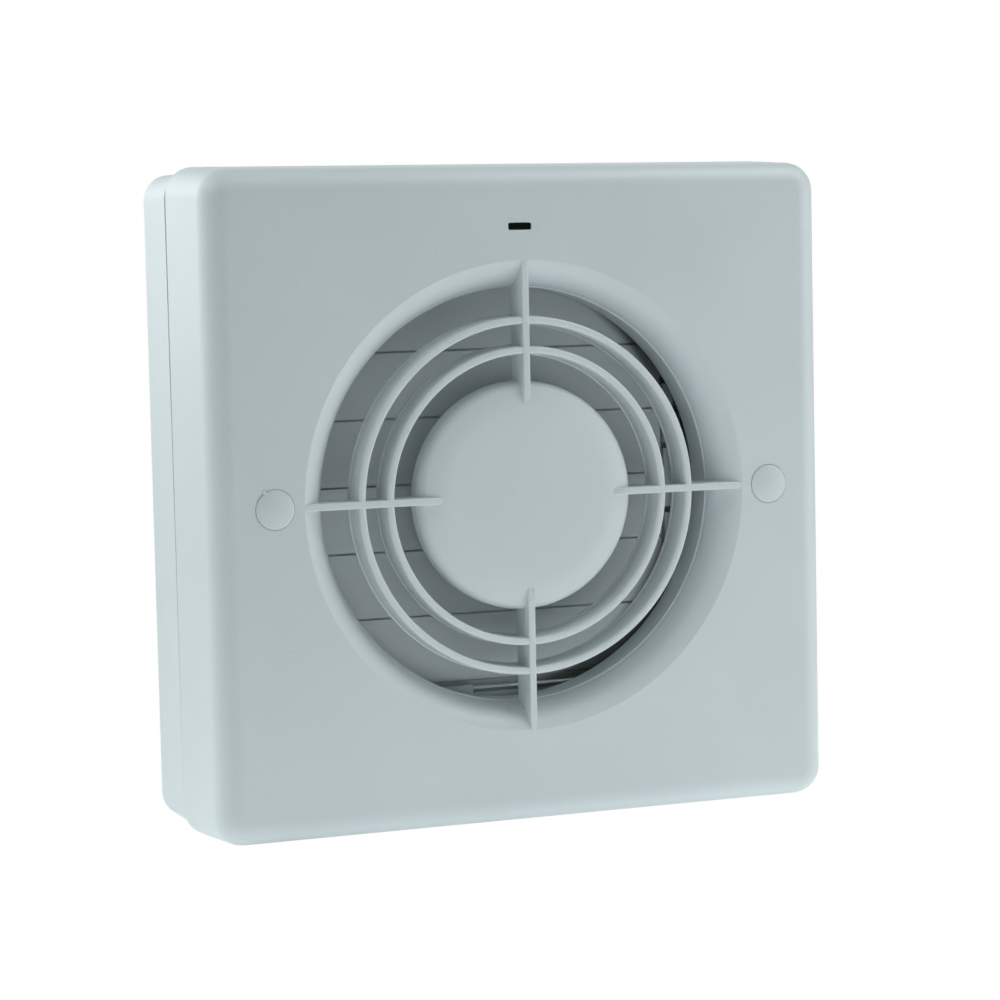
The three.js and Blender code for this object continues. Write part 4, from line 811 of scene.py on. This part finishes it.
# %% [markdown]
# ## Link bar, bell crank and push rod
# The actuator pushes a bent wire, the wire turns the bell crank, and the crank's peg lifts the link bar
# with its six holes. Bar and crank are flat mouldings: the bar is a rounded block with a foot, and each
# arm of the crank is drawn as an outline and extruded. The wire is drawn as a line, its corners are
# bevelled to the bend radius, and a round section is swept along it.

# %% Link bar and bell crank
BAR_Y = CRANK_PIN[0]
BAR_TOP = FLAP_TOP + CRANK_PIN[1] + 1.6
FOOT_X, FOOT_Z = (45.61, 52.61), -58.85
SLOT_X = 47.15, 51.07
bar = block("link_bar_moulding", (BAR_LEFT, BAR_Y - 1.6, FOOT_Z), (BAR_RIGHT, BAR_Y + 1.6, BAR_TOP))
rounded(bar, 0, 1.2, 5, at(2, BAR_TOP))
foot = block("link_bar_foot", (FOOT_X[0], BAR_Y - 1, FOOT_Z - 2.6), (FOOT_X[1], BAR_Y + 1, FOOT_Z + 2.6))
foot_slot = block("foot_slot", (SLOT_X[0], BAR_Y - 3, FOOT_Z - 1.45), (SLOT_X[1], BAR_Y + 3, FOOT_Z + 1.45))
joined(bar, rounded(foot, 1, 1.4, 5))
cut(bar, rounded(foot_slot, 1, 1.2, 5))
pin_places = [(BAR_Y, z + CRANK_PIN[1]) for z in FLAP_HEIGHTS]
cut(bar, *holes("X", 1.2, BAR_LEFT - 1, BAR_RIGHT + 1, pin_places))
finish(soften(bar, 0.2), frame_plastic, "link_bar", "link_bar")

BELL_ARM = 7.8
BELL_REST = math.degrees(0.517204)
TO_BAR, TO_ROD = 180 + BELL_REST, 90 + BELL_REST


def bell_arm(angle):
    """One arm of the bell crank, with round ends, at an angle from +X towards +Z."""
    outline = [*arc((0, 0), (2.2, 2.2), 90, 270, 12), *arc((BELL_ARM, 0), (1.9, 1.9), -90, 90, 12)]
    return move(turn(extruded("bell_arm", "Y", outline, BELL_FRONT, BELL_BACK), -angle), BELL_X, 0, BELL_Z)


def arm_end(angle):
    radians = math.radians(angle)
    return BELL_X + BELL_ARM * math.cos(radians), BELL_Z + BELL_ARM * math.sin(radians)


bell = joined(bell_arm(TO_BAR), bell_arm(TO_ROD))
bell.name = "bell_crank_moulding"
rod_slot = turn(block("rod_slot", (-1.2, BELL_FRONT - 1, -0.8), (1.2, BELL_BACK + 1, 0.8)), -TO_ROD)
hook_x, hook_z = arm_end(TO_ROD)
cut(bell, hole("Y", 1.5, BELL_FRONT - 1, BELL_BACK + 1, BELL, 48), move(rod_slot, hook_x, 0, hook_z))
soften(bell, 0.25)
joined(bell, rod("bell_peg", "Y", 1, BELL_BACK - 1, BELL_BACK + 6, arm_end(TO_BAR), 32))
finish(bell, frame_plastic, "bell_crank", "bell_crank")


# %% Wires and the push rod
def sweep(piece, radius, sides):
    """Sweep a round section along a drawn line and close its ends."""
    choose(piece)
    bpy.ops.object.convert(target="CURVE")
    curve = bpy.context.object.data
    curve.bevel_depth = radius * MM
    curve.bevel_resolution = sides
    curve.use_fill_caps = True
    bpy.ops.object.convert(target="MESH")


LEG_X = -20.81
hook = [(hook_x, ROD_Y, ROD_Z), (hook_x, BELL_BACK + 0.3, ROD_Z)]
wire = drawn("push_rod_line", [(LEG_X, ROD_Y, ACTUATOR_Z), (LEG_X, ROD_Y, ROD_Z), *hook])
with editing(wire):
    bevel(1.3, 8, "VERTICES")
sweep(wire, 0.5, 4)
push_rod = named("push_rod_wire")
plunger = rod("plunger", "X", 1.5, ACTUATOR_RIGHT - 9, LEG_X + 1.5, (ROD_Y, ACTUATOR_Z))
joined(push_rod, soften(plunger, 0.2))


def metal(name, base, wear, roughness, scale=1.5, stretch=(1, 1, 1)):
    """A bare or plated metal: its tint, patches of duller finish and fine scratches, in millimetres."""
    material, tree, shader = new_material(name)
    shader.inputs["Metallic"].default_value = 1
    place = add_node(tree, "TexCoord").outputs["Object"]
    tone = ramp(tree, noise(tree, place, 6, 4.0), (0.35, colour(wear)), (0.6, colour(base)))
    tree.links.new(tone, shader.inputs["Base Color"])
    stretched = add_node(tree, "Mapping", {"Vector": place, "Scale": stretch}).outputs[0]
    marks = noise(tree, stretched, scale, 3.0)
    vary_gloss(tree, shader, marks, roughness - 0.08, roughness + 0.1)
    emboss(tree, shader, marks, 0.2)
    return material


# Bright zinc plate on steel: pale, slightly blue, with drawing marks along the wire
zinc_steel = metal("bright_zinc_plated_steel", "#E6EAEB", "#CDD3D6", 0.34, stretch=(0.15, 1, 1))
finish(push_rod, zinc_steel, "push_rod", "push_rod")

# %% [markdown]
# ## Actuator and indicator lamp
# The actuator is a drawn aluminium can: a wax pellet inside it swells when it is heated and drives the
# plunger out. It is turned with its rolled rim and its collar. The lamp is a small glass capsule that
# lies in a cradle behind the window.

# %% Actuator
CAN = ACTUATOR_RIGHT - ACTUATOR_LEFT
can = turned("actuator_can", [
    (0, 0), (4.1, 0), *arc((4.2, 0.8), (0.8, 0.8), -90, 0, 5),
    (5, 4.4), *arc((5.05, 5), (0.4, 0.4), -120, -240, 6), (5, 5.6),
    (5, CAN - 4.2), (5.2, CAN - 4), (5.5, CAN - 3.9), (5.5, CAN - 2.1), (5.3, CAN - 2), (4.9, CAN - 1.9),
    *arc((4.4, CAN - 0.6), (0.6, 0.6), 0, 90, 5),
    (2.4, CAN), (2.2, CAN - 0.6), (1.8, CAN - 0.8), (1.8, CAN - 9.6), (0, CAN - 9.6),
], sides=64)
move(turn(can, -90, "Z"), ACTUATOR_LEFT, ROD_Y, ACTUATOR_Z)
TAB_END = ACTUATOR_LEFT - 6
for side in (-1, 1):
    low = (TAB_END, ROD_Y - 1.5, ACTUATOR_Z + side * 1.5 - 0.4)
    tab = block("contact_tab", low, (ACTUATOR_LEFT + 1, ROD_Y + 1.5, low[2] + 0.8))
    joined(can, soften(rounded(tab, 2, 0.8, 4, at(0, TAB_END)), 0.12))
# Drawn aluminium: a soft metal with fine lines along the can
drawn_aluminium = metal("drawn_aluminium", "#CFD3D6", "#AEB4B8", 0.38, stretch=(0.15, 1, 1))
finish(can, drawn_aluminium, "actuator_body")

# %% Lamp holder and lamp
LAMP_X, LAMP_Y, LAMP_Z = WINDOW_X, -41.8, WINDOW_Z
holder = block("lamp_cradle", (LAMP_X - 8, LAMP_Y, LAMP_Z - 3), (LAMP_X + 8, LAMP_Y + 5.2, LAMP_Z + 3))
stalk = (LAMP_X - 3, LAMP_Y + 3, LAMP_Z - 3), (LAMP_X + 3, PLATE_FRONT - 0.3, LAMP_Z + 3)
cradle_bore = hole("X", 2.5, LAMP_X - 9, LAMP_X + 9, (LAMP_Y, LAMP_Z), 64)
soften(cut(joined(holder, block("lamp_stalk", *stalk)), cradle_bore), 0.35, segments=3)
joined(holder, rod("cradle_peg", "Y", 1.5, PLATE_FRONT - 1, FRAME_BACK + 1, WINDOW, 32))
finish(holder, frame_plastic, "lamp_holder")

ends = [*arc((0, -3.8), (2.2, 2.2), -90, 0, 10), *arc((0, 3.8), (2.2, 2.2), 0, 90, 10)]
capsule = move(turn(turned("lamp_capsule", ends, sides=48), -90, "Z"), LAMP_X, LAMP_Y, LAMP_Z)
# Soda glass of a small neon lamp, with a faint warm tint from its coating
lamp_glass = clear_plastic("neon_lamp_glass", "#F4E3D2", 0.08)
lamp_glass.node_tree.nodes["Principled BSDF"].inputs["Transmission Weight"].default_value = 0.85
finish(capsule, lamp_glass, "indicator_lamp")

# %% [markdown]
# ## Screws
# All screws are pan-head screws with a cross slot. One function turns the head and the threaded shank
# from their sizes, with the thread as a row of ridges, and copies are moved to the other places of the
# same screw.

# %% One function for every screw
THREAD_PITCH = 0.9


def screw(name, head, head_depth, shank, length):
    """A screw along +Y with its head's top at the origin."""
    tip = head_depth + length
    thread = []
    y = head_depth + THREAD_PITCH
    while y < tip - 2 * THREAD_PITCH:
        thread += [(shank - 0.22, y), (shank + 0.08, y + THREAD_PITCH / 2)]
        y += THREAD_PITCH
    rim = head_depth * 0.55
    piece = turned(name, [
        (0, 0), *arc((head * 0.55, rim), (head * 0.45, rim), -90, 0, 6), (head, head_depth - 0.15),
        (head - 0.15, head_depth), (shank, head_depth), *thread, (shank - 0.22, tip - 1.4), (0.25, tip),
        (0, tip),
    ], sides=40)
    reach, half = 0.62 * head, 0.11 * head
    for wide, high in ((reach, half), (half, reach)):
        cut(piece, block("cross_slot", (-wide, -1, -high), (wide, rim, high)))
    return piece


def screws(name, sizes, y, places, ends=None, body="casing"):
    """Copies of one screw, each named after the node it stands for: the screw's name and an ending."""
    pattern = screw(name + "_pattern", *sizes)
    for i, (x, z) in enumerate(places):
        node = f"{name}_{ends[i]}" if ends else name
        piece = move(copy_of(pattern, node + "_thread"), x, y, z)
        finish(piece, zinc_steel, node, body, 30)
    bpy.data.objects.remove(pattern)


# %% [markdown]
# ## Rear housing
# The housing is the shallow tray on the wall with the duct spigot behind it. It is one moulding: a tray,
# a tongue that centres the cover, the spigot with the motor spider inside, and posts for every screw.

# %% Tray, tongue and spigot
HOUSING_HALF, TONGUE_HALF, HOUSING_WALL, FLOOR = 79, 77, 3, -2.5
SPIGOT, SPIGOT_BORE, SPIGOT_FRONT, SPIGOT_END = 49, 47, -16, 48
SPIDER_FRONT, SPIDER_BACK = 8.4, 11.4
MOTOR_SCREW_X = 19
MOTOR_SCREWS = [(-MOTOR_SCREW_X, 0), (MOTOR_SCREW_X, 0)]


def square_block(name, half, corner, front, back, rise=None):
    """A block with rounded long edges, square where no half height is given."""
    rise = rise or half
    return rounded(block(name, (-half, front, -rise), (half, back, rise)), 1, corner, 10)


housing = square_block("rear_housing_moulding", HOUSING_HALF + 0.75, 6.2, SEAM + 1.4, 0, HOUSING_HALF - 0.3)
with editing(housing):
    # The seam is wider above than below
    for side, offset in ((1, 0.5), (-1, -0.6)):
        pick("VERT", lambda v: v.co.y < 0.9 * SEAM * MM and v.co.z * side > 0)
        bpy.ops.transform.translate(value=metres(0, offset, 0))
    pick("EDGE", at(1, 0))
    bevel(1.5, 5)
cut(housing, square_block("tray_hollow", HOUSING_HALF - HOUSING_WALL, 5, SEAM - 2, FLOOR))
tongue = square_block("tongue", TONGUE_HALF, 6, SEAM - 2.4, SEAM + 2.2)
joined(housing, cut(tongue, square_block("tongue_hollow", TONGUE_HALF - 2, 4, SEAM - 4, SEAM + 4)))
cut(housing, hole("Y", SPIGOT_BORE + 1, FLOOR - 1, 1, sides=128))
spigot = turned("duct_spigot", [
    (SPIGOT_BORE + 0.4, SPIGOT_FRONT), (SPIGOT - 0.4, SPIGOT_FRONT), (SPIGOT, SPIGOT_FRONT + 0.4),
    (SPIGOT, SPIGOT_END - 0.8), (SPIGOT - 0.8, SPIGOT_END), (SPIGOT_BORE + 0.3, SPIGOT_END),
    (SPIGOT_BORE, SPIGOT_END - 0.3), (SPIGOT_BORE, SPIGOT_FRONT + 0.4), (SPIGOT_BORE + 0.4, SPIGOT_FRONT),
], sides=160)
joined(housing, spigot)
print("tray and spigot:", len(housing.data.polygons), "faces")

# %% [markdown]
# Inside the spigot a disc on three ribbed arms carries the motor. The posts are plain rods with their
# pilot holes, and the tray has four slots for wall screws, a hole for the supply cable and a notch for
# the leads.

# %% Spider, posts and holes
CLAMP_X, CLAMP_Z, CLAMP_SPREAD = 49.5, 65, 5.7
CLAMP_PLACES = [(CLAMP_X, CLAMP_Z - CLAMP_SPREAD), (CLAMP_X, CLAMP_Z + CLAMP_SPREAD)]
spider = rod("spider_disc", "Y", 21, SPIDER_FRONT, SPIDER_BACK, sides=96)
for angle in (-90, 30, 150):
    arm = block("spider_arm", (12, SPIDER_FRONT + 0.1, -3), (SPIGOT_BORE + 1.2, SPIDER_BACK - 0.1, 3))
    rib = block("arm_rib", (27, SPIDER_BACK - 8, -0.9), (SPIGOT_BORE + 0.7, SPIDER_BACK - 1, 0.9))
    joined(spider, turn(arm, -angle), turn(rib, -angle))
joined(spider, *[rod("motor_pillar", "Y", 3.6, 3.8, SPIDER_BACK - 0.5, place) for place in MOTOR_SCREWS])
joined(housing, spider)
POSTS = [
    ("cover_post", 4.5, -33.7, CAP_PLACES),
    ("frame_post", LUG, FRAME_BACK + 0.3, sorted(LUG_PLACES)),
    ("clamp_post", 2.6, -8.5, CLAMP_PLACES),
]
posts = [
    rod(name, "Y", radius, top, FLOOR + 1, place) for name, radius, top, places in POSTS for place in places
]
ribs = [block("terminal_rib", (x, -6.5, 58), (x + 1.4, FLOOR + 1, 71)) for x in (12.3, 42.3)]
joined(housing, *posts, *ribs)
openings = [
    hole("Y", 7, SPIDER_FRONT - 1, SPIDER_BACK + 1, sides=64),
    *holes("Y", 1.7, -35, -11, CAP_PLACES),
    *holes("Y", 1.6, FRAME_BACK - 1, -11.4, sorted(LUG_PLACES)),
    *holes("Y", 1.6, 2, SPIDER_BACK + 1, MOTOR_SCREWS),
    *holes("Y", 1.4, -10, -3, CLAMP_PLACES),
]
for x in (-68, 68):
    for z in (-50, 50):
        slot = block("wall_slot", (x - 2.3, FLOOR - 1, z - 5.3), (x + 2.3, 1, z + 5.3))
        openings.append(rounded(slot, 1, 2.28, 8))
openings.append(rounded(block("cable_hole", (56, FLOOR - 1, 61), (70, 1, 69)), 1, 1.5, 6))
openings.append(block("lead_notch", (5.5, SPIGOT_FRONT - 1, 30), (13.5, SPIGOT_FRONT + 4, 60)))
cut(housing, *openings)
finish(soften(housing, 0.3), housing_abs, "rear_housing", angle=35)

# %% Screws of cover, frame, bell crank, motor, terminals and clamp
TERMINAL_Z = 64.5
TERMINALS = [(56 / 3 + i * 28 / 3, TERMINAL_Z) for i in range(3)]
SIDES = ["left", "right"]
screws("cover_screw", (3.4, 2.2, 1.4, 22), -38.5, CAP_PLACES, SIDES, "cover")
screws("frame_screw", (2.8, 1.8, 1.3, 10), -25.8, LUG_PLACES, "1234")
screws("bell_crank_screw", (2.6, 1.6, 1.2, 8), -34, [BELL])
screws("motor_screw", (2.6, 1.6, 1.3, 22.9), -13.4, MOTOR_SCREWS, SIDES)
screws("terminal_screw", (1.7, 1.2, 1, 3.5), -13.3, TERMINALS, "123")
screws("clamp_screw", (2.1, 1.4, 1.1, 6.5), -12.9, CLAMP_PLACES, "12")

# %% [markdown]
# ## Impeller
# The impeller is one moulding too. Its hub is a cup that is turned from its section. A blade is a
# subdivided block: every vertex is moved to its place on a twisted and curved blade, thick in the middle
# of the chord and thin at both edges. Five copies are turned round the shaft.

# %% Hub and blades
BLADE_ROOT, BLADE_TIP, BLADE_MIDDLE, BLADE_HALF = 16.1, 45.6, 22.6, 1.7
CHORD, CHORD_GAIN, PITCH, PITCH_LOSS, CAMBER = 20, 11, 48, 24, 0.07
CUP, CUP_WALL, CUP_FRONT, CUP_BACK = 17, 1.8, 13.1, 32.1
CUP_CORNER = (CUP - 3, CUP_BACK - 3)
SHAFT, SHAFT_HOLE = 1.5, 1.8

impeller = turned("impeller_moulding", [
    (SHAFT_HOLE, CUP_BACK), *arc(CUP_CORNER, (3, 3), 90, 0, 8), (CUP, CUP_FRONT + 0.4),
    (CUP - 0.4, CUP_FRONT), (CUP - CUP_WALL + 0.3, CUP_FRONT), (CUP - CUP_WALL, CUP_FRONT + 0.3),
    *arc(CUP_CORNER, (3 - CUP_WALL, 3 - CUP_WALL), 0, 90, 6), (4.2, CUP_BACK - CUP_WALL),
    (4.2, CUP_FRONT + 1.3), (3.9, CUP_FRONT + 1), (2.1, CUP_FRONT + 1), (SHAFT_HOLE, CUP_FRONT + 1.3),
    (SHAFT_HOLE, CUP_BACK),
], sides=96)


def blade_place(around, side, out):
    """A place on the blade, from shares of its chord, its thickness and its span."""
    radius = BLADE_ROOT + (BLADE_TIP - BLADE_ROOT) * out
    chord = CHORD + CHORD_GAIN * out
    pitch = math.radians(PITCH - PITCH_LOSS * out)
    camber = CAMBER * chord * (1 - 4 * around * around)
    rounding = math.sqrt(max(1 - abs(2 * around) ** 5, 0.04))
    off = camber + side * BLADE_HALF * rounding
    angle = (around * chord * math.cos(pitch) - off * math.sin(pitch)) / radius
    axial = around * chord * math.sin(pitch) + off * math.cos(pitch)
    return radius * math.cos(angle), BLADE_MIDDLE + axial, radius * math.sin(angle)


fan_blade = block("impeller_blade", (-0.5, -0.5, 0), (0.5, 0.5, 1))
with editing(fan_blade):
    bpy.ops.mesh.subdivide(number_cuts=12)
for vertex in fan_blade.data.vertices:
    vertex.co = metres(*blade_place(*(vertex.co / MM)))
with editing(fan_blade):
    bpy.ops.mesh.normals_make_consistent(inside=False)
joined(impeller, fan_blade, *[turn(copy_of(fan_blade, "impeller_blade"), 60 * i) for i in range(1, 6)])
# Grey ABS of the impeller, from a plain mould
impeller_abs = moulded("grey_impeller_abs", "#B9C2C6", 0.4)
finish(impeller, impeller_abs, "impeller", "impeller", 35)

# %% Clip on the shaft's end
clip = turned("impeller_clip_plate", [
    (SHAFT_HOLE, 32.4), (4.6, 32.4), (4.6, 32.9), (4.4, 33.1), (3, 33.1), (2.8, 33.3), (2.8, 34.2),
    (2.6, 34.4), (2, 34.4), (SHAFT_HOLE, 34.2), (SHAFT_HOLE, 32.4),
], sides=48)
cut(clip, *[turn(block("clip_slot", (2.2, 32, -0.3), (3.7, 35, 0.3)), 60 * i) for i in range(6)])
finish(clip, zinc_steel, "impeller_clip", "impeller")

# %% [markdown]
# ## Motor
# A shaded-pole motor: a stack of stamped steel sheets with a window for the coil, a cast rotor, and two
# pressed brackets that hold sintered bronze bearings. The stack's material draws its sheets as fine
# lines.

# %% Metals and tape of the motor
SHEET, TAPE = 0.5, 6


def sheets(tree, place):
    """Stamped sheets, 0.5 mm each, seen as fine dark lines across the duct's axis."""
    y = add_node(tree, "SeparateXYZ", {0: place}).outputs["Y"]
    size = result(tree, "ABSOLUTE", result(tree, "MODULO", y, SHEET * MM))
    share = result(tree, "MULTIPLY", size, per(SHEET))
    return ramp(tree, share, (0.12, (0.45, 0.45, 0.45, 1)), (0.3, (1, 1, 1, 1)))


def overlaps(tree, place):
    """Tape that is wound edge to edge: pale bands with thin darker overlaps."""
    bands = add_node(tree, "TexWave", {"Vector": place, "Scale": per(TAPE) / math.tau, "Distortion": 0.6})
    return ramp(tree, bands.outputs[1], (0.05, (0.6, 0.55, 0.45, 1)), (0.16, (1, 1, 1, 1)))


def lined(material, lines):
    """Multiply a material's colour by lines that a function draws."""
    tree = material.node_tree
    pattern = lines(tree, add_node(tree, "TexCoord").outputs["Object"])
    base = tree.nodes["Principled BSDF"].inputs["Base Color"]
    tree.links.new(mix(tree, 1, base.links[0].from_socket, pattern, blend_type="MULTIPLY"), base)
    return material


# Silicon steel sheets, pressed together: grey with fine lines
lamination_steel = lined(metal("laminated_silicon_steel", "#A4A8A9", "#85898A", 0.42), sheets)
# Die-cast aluminium of the rotor: dull and a little grainy
cast_aluminium = metal("die_cast_aluminium", "#C6CACC", "#A5A9AB", 0.45, scale=0.8)
# Sintered bronze, dark with oil
oiled_bronze = metal("oiled_sintered_bronze", "#A9743F", "#7B5128", 0.4, scale=0.4)
# Ground steel of the shaft, with fine lines round it
ground_steel = metal("ground_shaft_steel", "#D5D7D8", "#C2C5C7", 0.2, stretch=(1, 6, 1))
# Yellow polyester tape round the coil
polyester_tape = lined(moulded("yellow_polyester_tape", "#DFC67C", 0.35), overlaps)

# %% Stack, coil and rotor
STACK_HALF, STACK_BOTTOM, STACK_TOP = 24, -16, 32
STACK_FRONT, STACK_BACK = -10, 2
stack = block("stator_stack", (-STACK_HALF, STACK_FRONT, STACK_BOTTOM), (STACK_HALF, STACK_BACK, STACK_TOP))
cut(
    rounded(stack, 1, 4, 6),
    hole("Y", 10.3, STACK_FRONT - 1, STACK_BACK + 1, sides=96),
    block("coil_window", (-14, STACK_FRONT - 1, 12.3), (14, STACK_BACK + 1, 23)),
    *holes("Y", 1.6, STACK_FRONT - 1, STACK_BACK + 1, MOTOR_SCREWS),
)
finish(soften(stack, 0.15), lamination_steel, "motor_stator")

coil = rounded(block("coil_winding", (-12.5, -13.7, 19.3), (12.5, 5.7, 35.7)), 0, 3.4, 8)
cut(coil, block("coil_hole", (-14, STACK_FRONT - 0.3, 22.7), (14, STACK_BACK + 0.3, STACK_TOP + 0.3)))
finish(soften(coil, 0.6, segments=3), polyester_tape, "motor_coil")

rotor_end = [(SHAFT_HOLE, 0), (5, 0), (5.4, 0.8), (7, 0.8), (7.4, 0), (9.2, 0), (9.6, 0.4)]
rotor = turned("rotor_core", [
    *[(radius, STACK_FRONT + depth) for radius, depth in rotor_end],
    *[(radius, STACK_BACK - depth) for radius, depth in reversed(rotor_end)],
    (SHAFT_HOLE, STACK_FRONT),
], sides=96)
finish(rotor, cast_aluminium, "motor_rotor", "impeller", 30)
shaft_ends = [(0, -16.1), (1.2, -16.1), (SHAFT, -15.8), (SHAFT, 34.4), (1.2, 34.7), (0, 34.7)]
shaft = turned("motor_spindle", shaft_ends, sides=48)
finish(shaft, ground_steel, "motor_shaft", "impeller")

# %% Brackets and bearings
STRAP, CUP_LENGTH = 1.2, 5.8


def bracket(name, inner, side, node):
    """A pressed strap with round ends and a drawn cup, both to one side (-1 front, 1 back) of a place."""
    left, right = MOTOR_SCREWS
    ends = [*arc(left, (5, 5), 90, 270, 12), *arc(right, (5, 5), -90, 90, 12)]
    low, high = sorted((inner, inner + side * STRAP))
    start, end = sorted((inner, inner + side * CUP_LENGTH))
    near, far = sorted((inner - side, inner + side * (CUP_LENGTH - STRAP)))
    strap = extruded(name, "Y", ends, low, high)
    joined(strap, rod("bearing_cup", "Y", 4.7, start, end, sides=64))
    cut(strap, hole("Y", 3.7, near, far, sides=64), hole("Y", SHAFT_HOLE, start - 1, end + 1, sides=48))
    cut(strap, *holes("Y", 1.6, low - 1, high + 1, MOTOR_SCREWS))
    finish(soften(strap, 0.25), zinc_steel, node)


bracket("front_bracket_strap", -10.3, -1, "bearing_bracket_front")
bracket("rear_bracket_strap", 2.3, 1, "bearing_bracket_rear")
sleeve = [
    (SHAFT_HOLE, 0.3), (2.1, 0), (3, 0), (3.4, 0.5), (3.4, 3.1), (3, 3.6), (2.1, 3.6), (SHAFT_HOLE, 3.3),
    (SHAFT_HOLE, 0.3),
]
for node, start in (("bearing_front", -14.6), ("bearing_rear", 3)):
    bush = turned(node + "_bush", [(radius, start + depth) for radius, depth in sleeve], sides=64)
    finish(bush, oiled_bronze, node)

# %% [markdown]
# ## Wiring
# Three short leads run from the terminal block to the coil and round to the actuator. Their routes are
# smooth curves through a few points. Each route is drawn as a line of short steps, and a round section
# is swept along it.

# %% Terminal block and cable clamp
BLOCK_LOW, BLOCK_HIGH = (14, -13.8, 58), (42, -2.8, 71)
WAY = (BLOCK_HIGH[0] - BLOCK_LOW[0]) / 3
terminal = block("terminal_moulding", BLOCK_LOW, BLOCK_HIGH)
for x in (BLOCK_LOW[0] + WAY, BLOCK_LOW[0] + WAY * 2):
    cut(terminal, block("way_groove", (x - 0.7, -15, 57), (x + 0.7, -11.8, 72)))
for low, high in ((57, 59.6), (69.4, 72)):
    cut(terminal, block("end_step", (13, -15, low), (43, -12.2, high)))
for x in [BLOCK_LOW[0] + WAY * (i + 0.5) for i in range(3)]:
    wire_holes = [hole("Z", 1.6, low, low + 6, (x, -8)) for low in (57, 66)]
    cut(terminal, hole("Y", 2, -15, -8.3, (x, TERMINAL_Z)), *wire_holes)
# Glass-filled polyamide of the terminal block: off-white and matt
terminal_polyamide = moulded("natural_polyamide", "#D9D6CB", 0.5)
finish(soften(terminal, 0.25), terminal_polyamide, "terminal_block")
clamp = block("clamp_bar", (CLAMP_X - 2.5, -11.2, 56.7), (CLAMP_X + 2.5, -8.8, 73.3))
cut(clamp, *holes("Y", 1.4, -12, -8, CLAMP_PLACES))
finish(soften(clamp, 0.5, segments=3), terminal_polyamide, "cable_clamp")

# %% Leads
LEAD_RADIUS, LEAD_STEPS = 0.9, 12


def smooth_route(points):
    """Points on a smooth curve through all the given points, in short steps."""
    points = [Vector(point) for point in points]
    ends = [2 * points[0] - points[1], *points, 2 * points[-1] - points[-2]]
    route = []
    for a, b, c, d in zip(ends, ends[1:], ends[2:], ends[3:]):
        first, span, last = [(q - p).length ** 0.5 for p, q in ((a, b), (b, c), (c, d))]
        leave = ((b - a) / first - (c - a) / (first + span) + (c - b) / span) * span
        reach = ((c - b) / span - (d - b) / (span + last) + (d - c) / last) * span
        bend = 2 * b - 2 * c + leave + reach
        turning = 3 * c - 3 * b - 2 * leave - reach
        for t in (step / LEAD_STEPS for step in range(LEAD_STEPS)):
            route.append(b + leave * t + turning * t**2 + bend * t**3)
    return [*route, points[-1]]


def lead(name, points, material):
    sweep(drawn(name, smooth_route(points)), LEAD_RADIUS, 3)
    with editing(bpy.context.object):
        bpy.ops.mesh.remove_doubles(threshold=0.002 * MM)
    finish(named(name + "_insulation"), material, name, angle=50)


# PVC insulation, soft and glossy, in the two colours of mains wiring
brown_pvc = moulded("brown_pvc_insulation", "#5B3423", 0.32, specks=0)
blue_pvc = moulded("blue_pvc_insulation", "#2F5F9E", 0.32, specks=0)
live_route = [
    (9, -10, 36.1), (9.4, -11, 40), (10.4, -13.4, 44), (11, -14, 48), (15, -12.5, 51.5), (23.5, -9, 53.5),
    (28, -8, 57), (28, -8, 61.5),
]
neutral_route = [
    (5, -10, 36.1), (5.6, -11, 40), (7.2, -13.4, 44), (8, -14, 48), (10, -11.5, 52.5), (15.5, -8.7, 55),
    (18.67, -8, 58), (18.67, -8, 61.5),
]
actuator_route = [
    (-66.4, -33.2, -57), (-69, -32, -56), (-71.5, -26, -50), (-72, -18, -38), (-72, -12, -20), (-72, -10, 0),
    (-72, -10, 22), (-71, -10, 45), (-66, -10, 62), (-55, -10, 71), (-35, -10, 73.8), (-10, -10, 74.2),
    (8, -9, 74.2), (16, -8.2, 73.8), (18.67, -8, 70), (18.67, -8, 67),
]
lead("motor_lead_live", live_route, brown_pvc)
lead("motor_lead_neutral", neutral_route, blue_pvc)
lead("actuator_lead", actuator_route, blue_pvc)
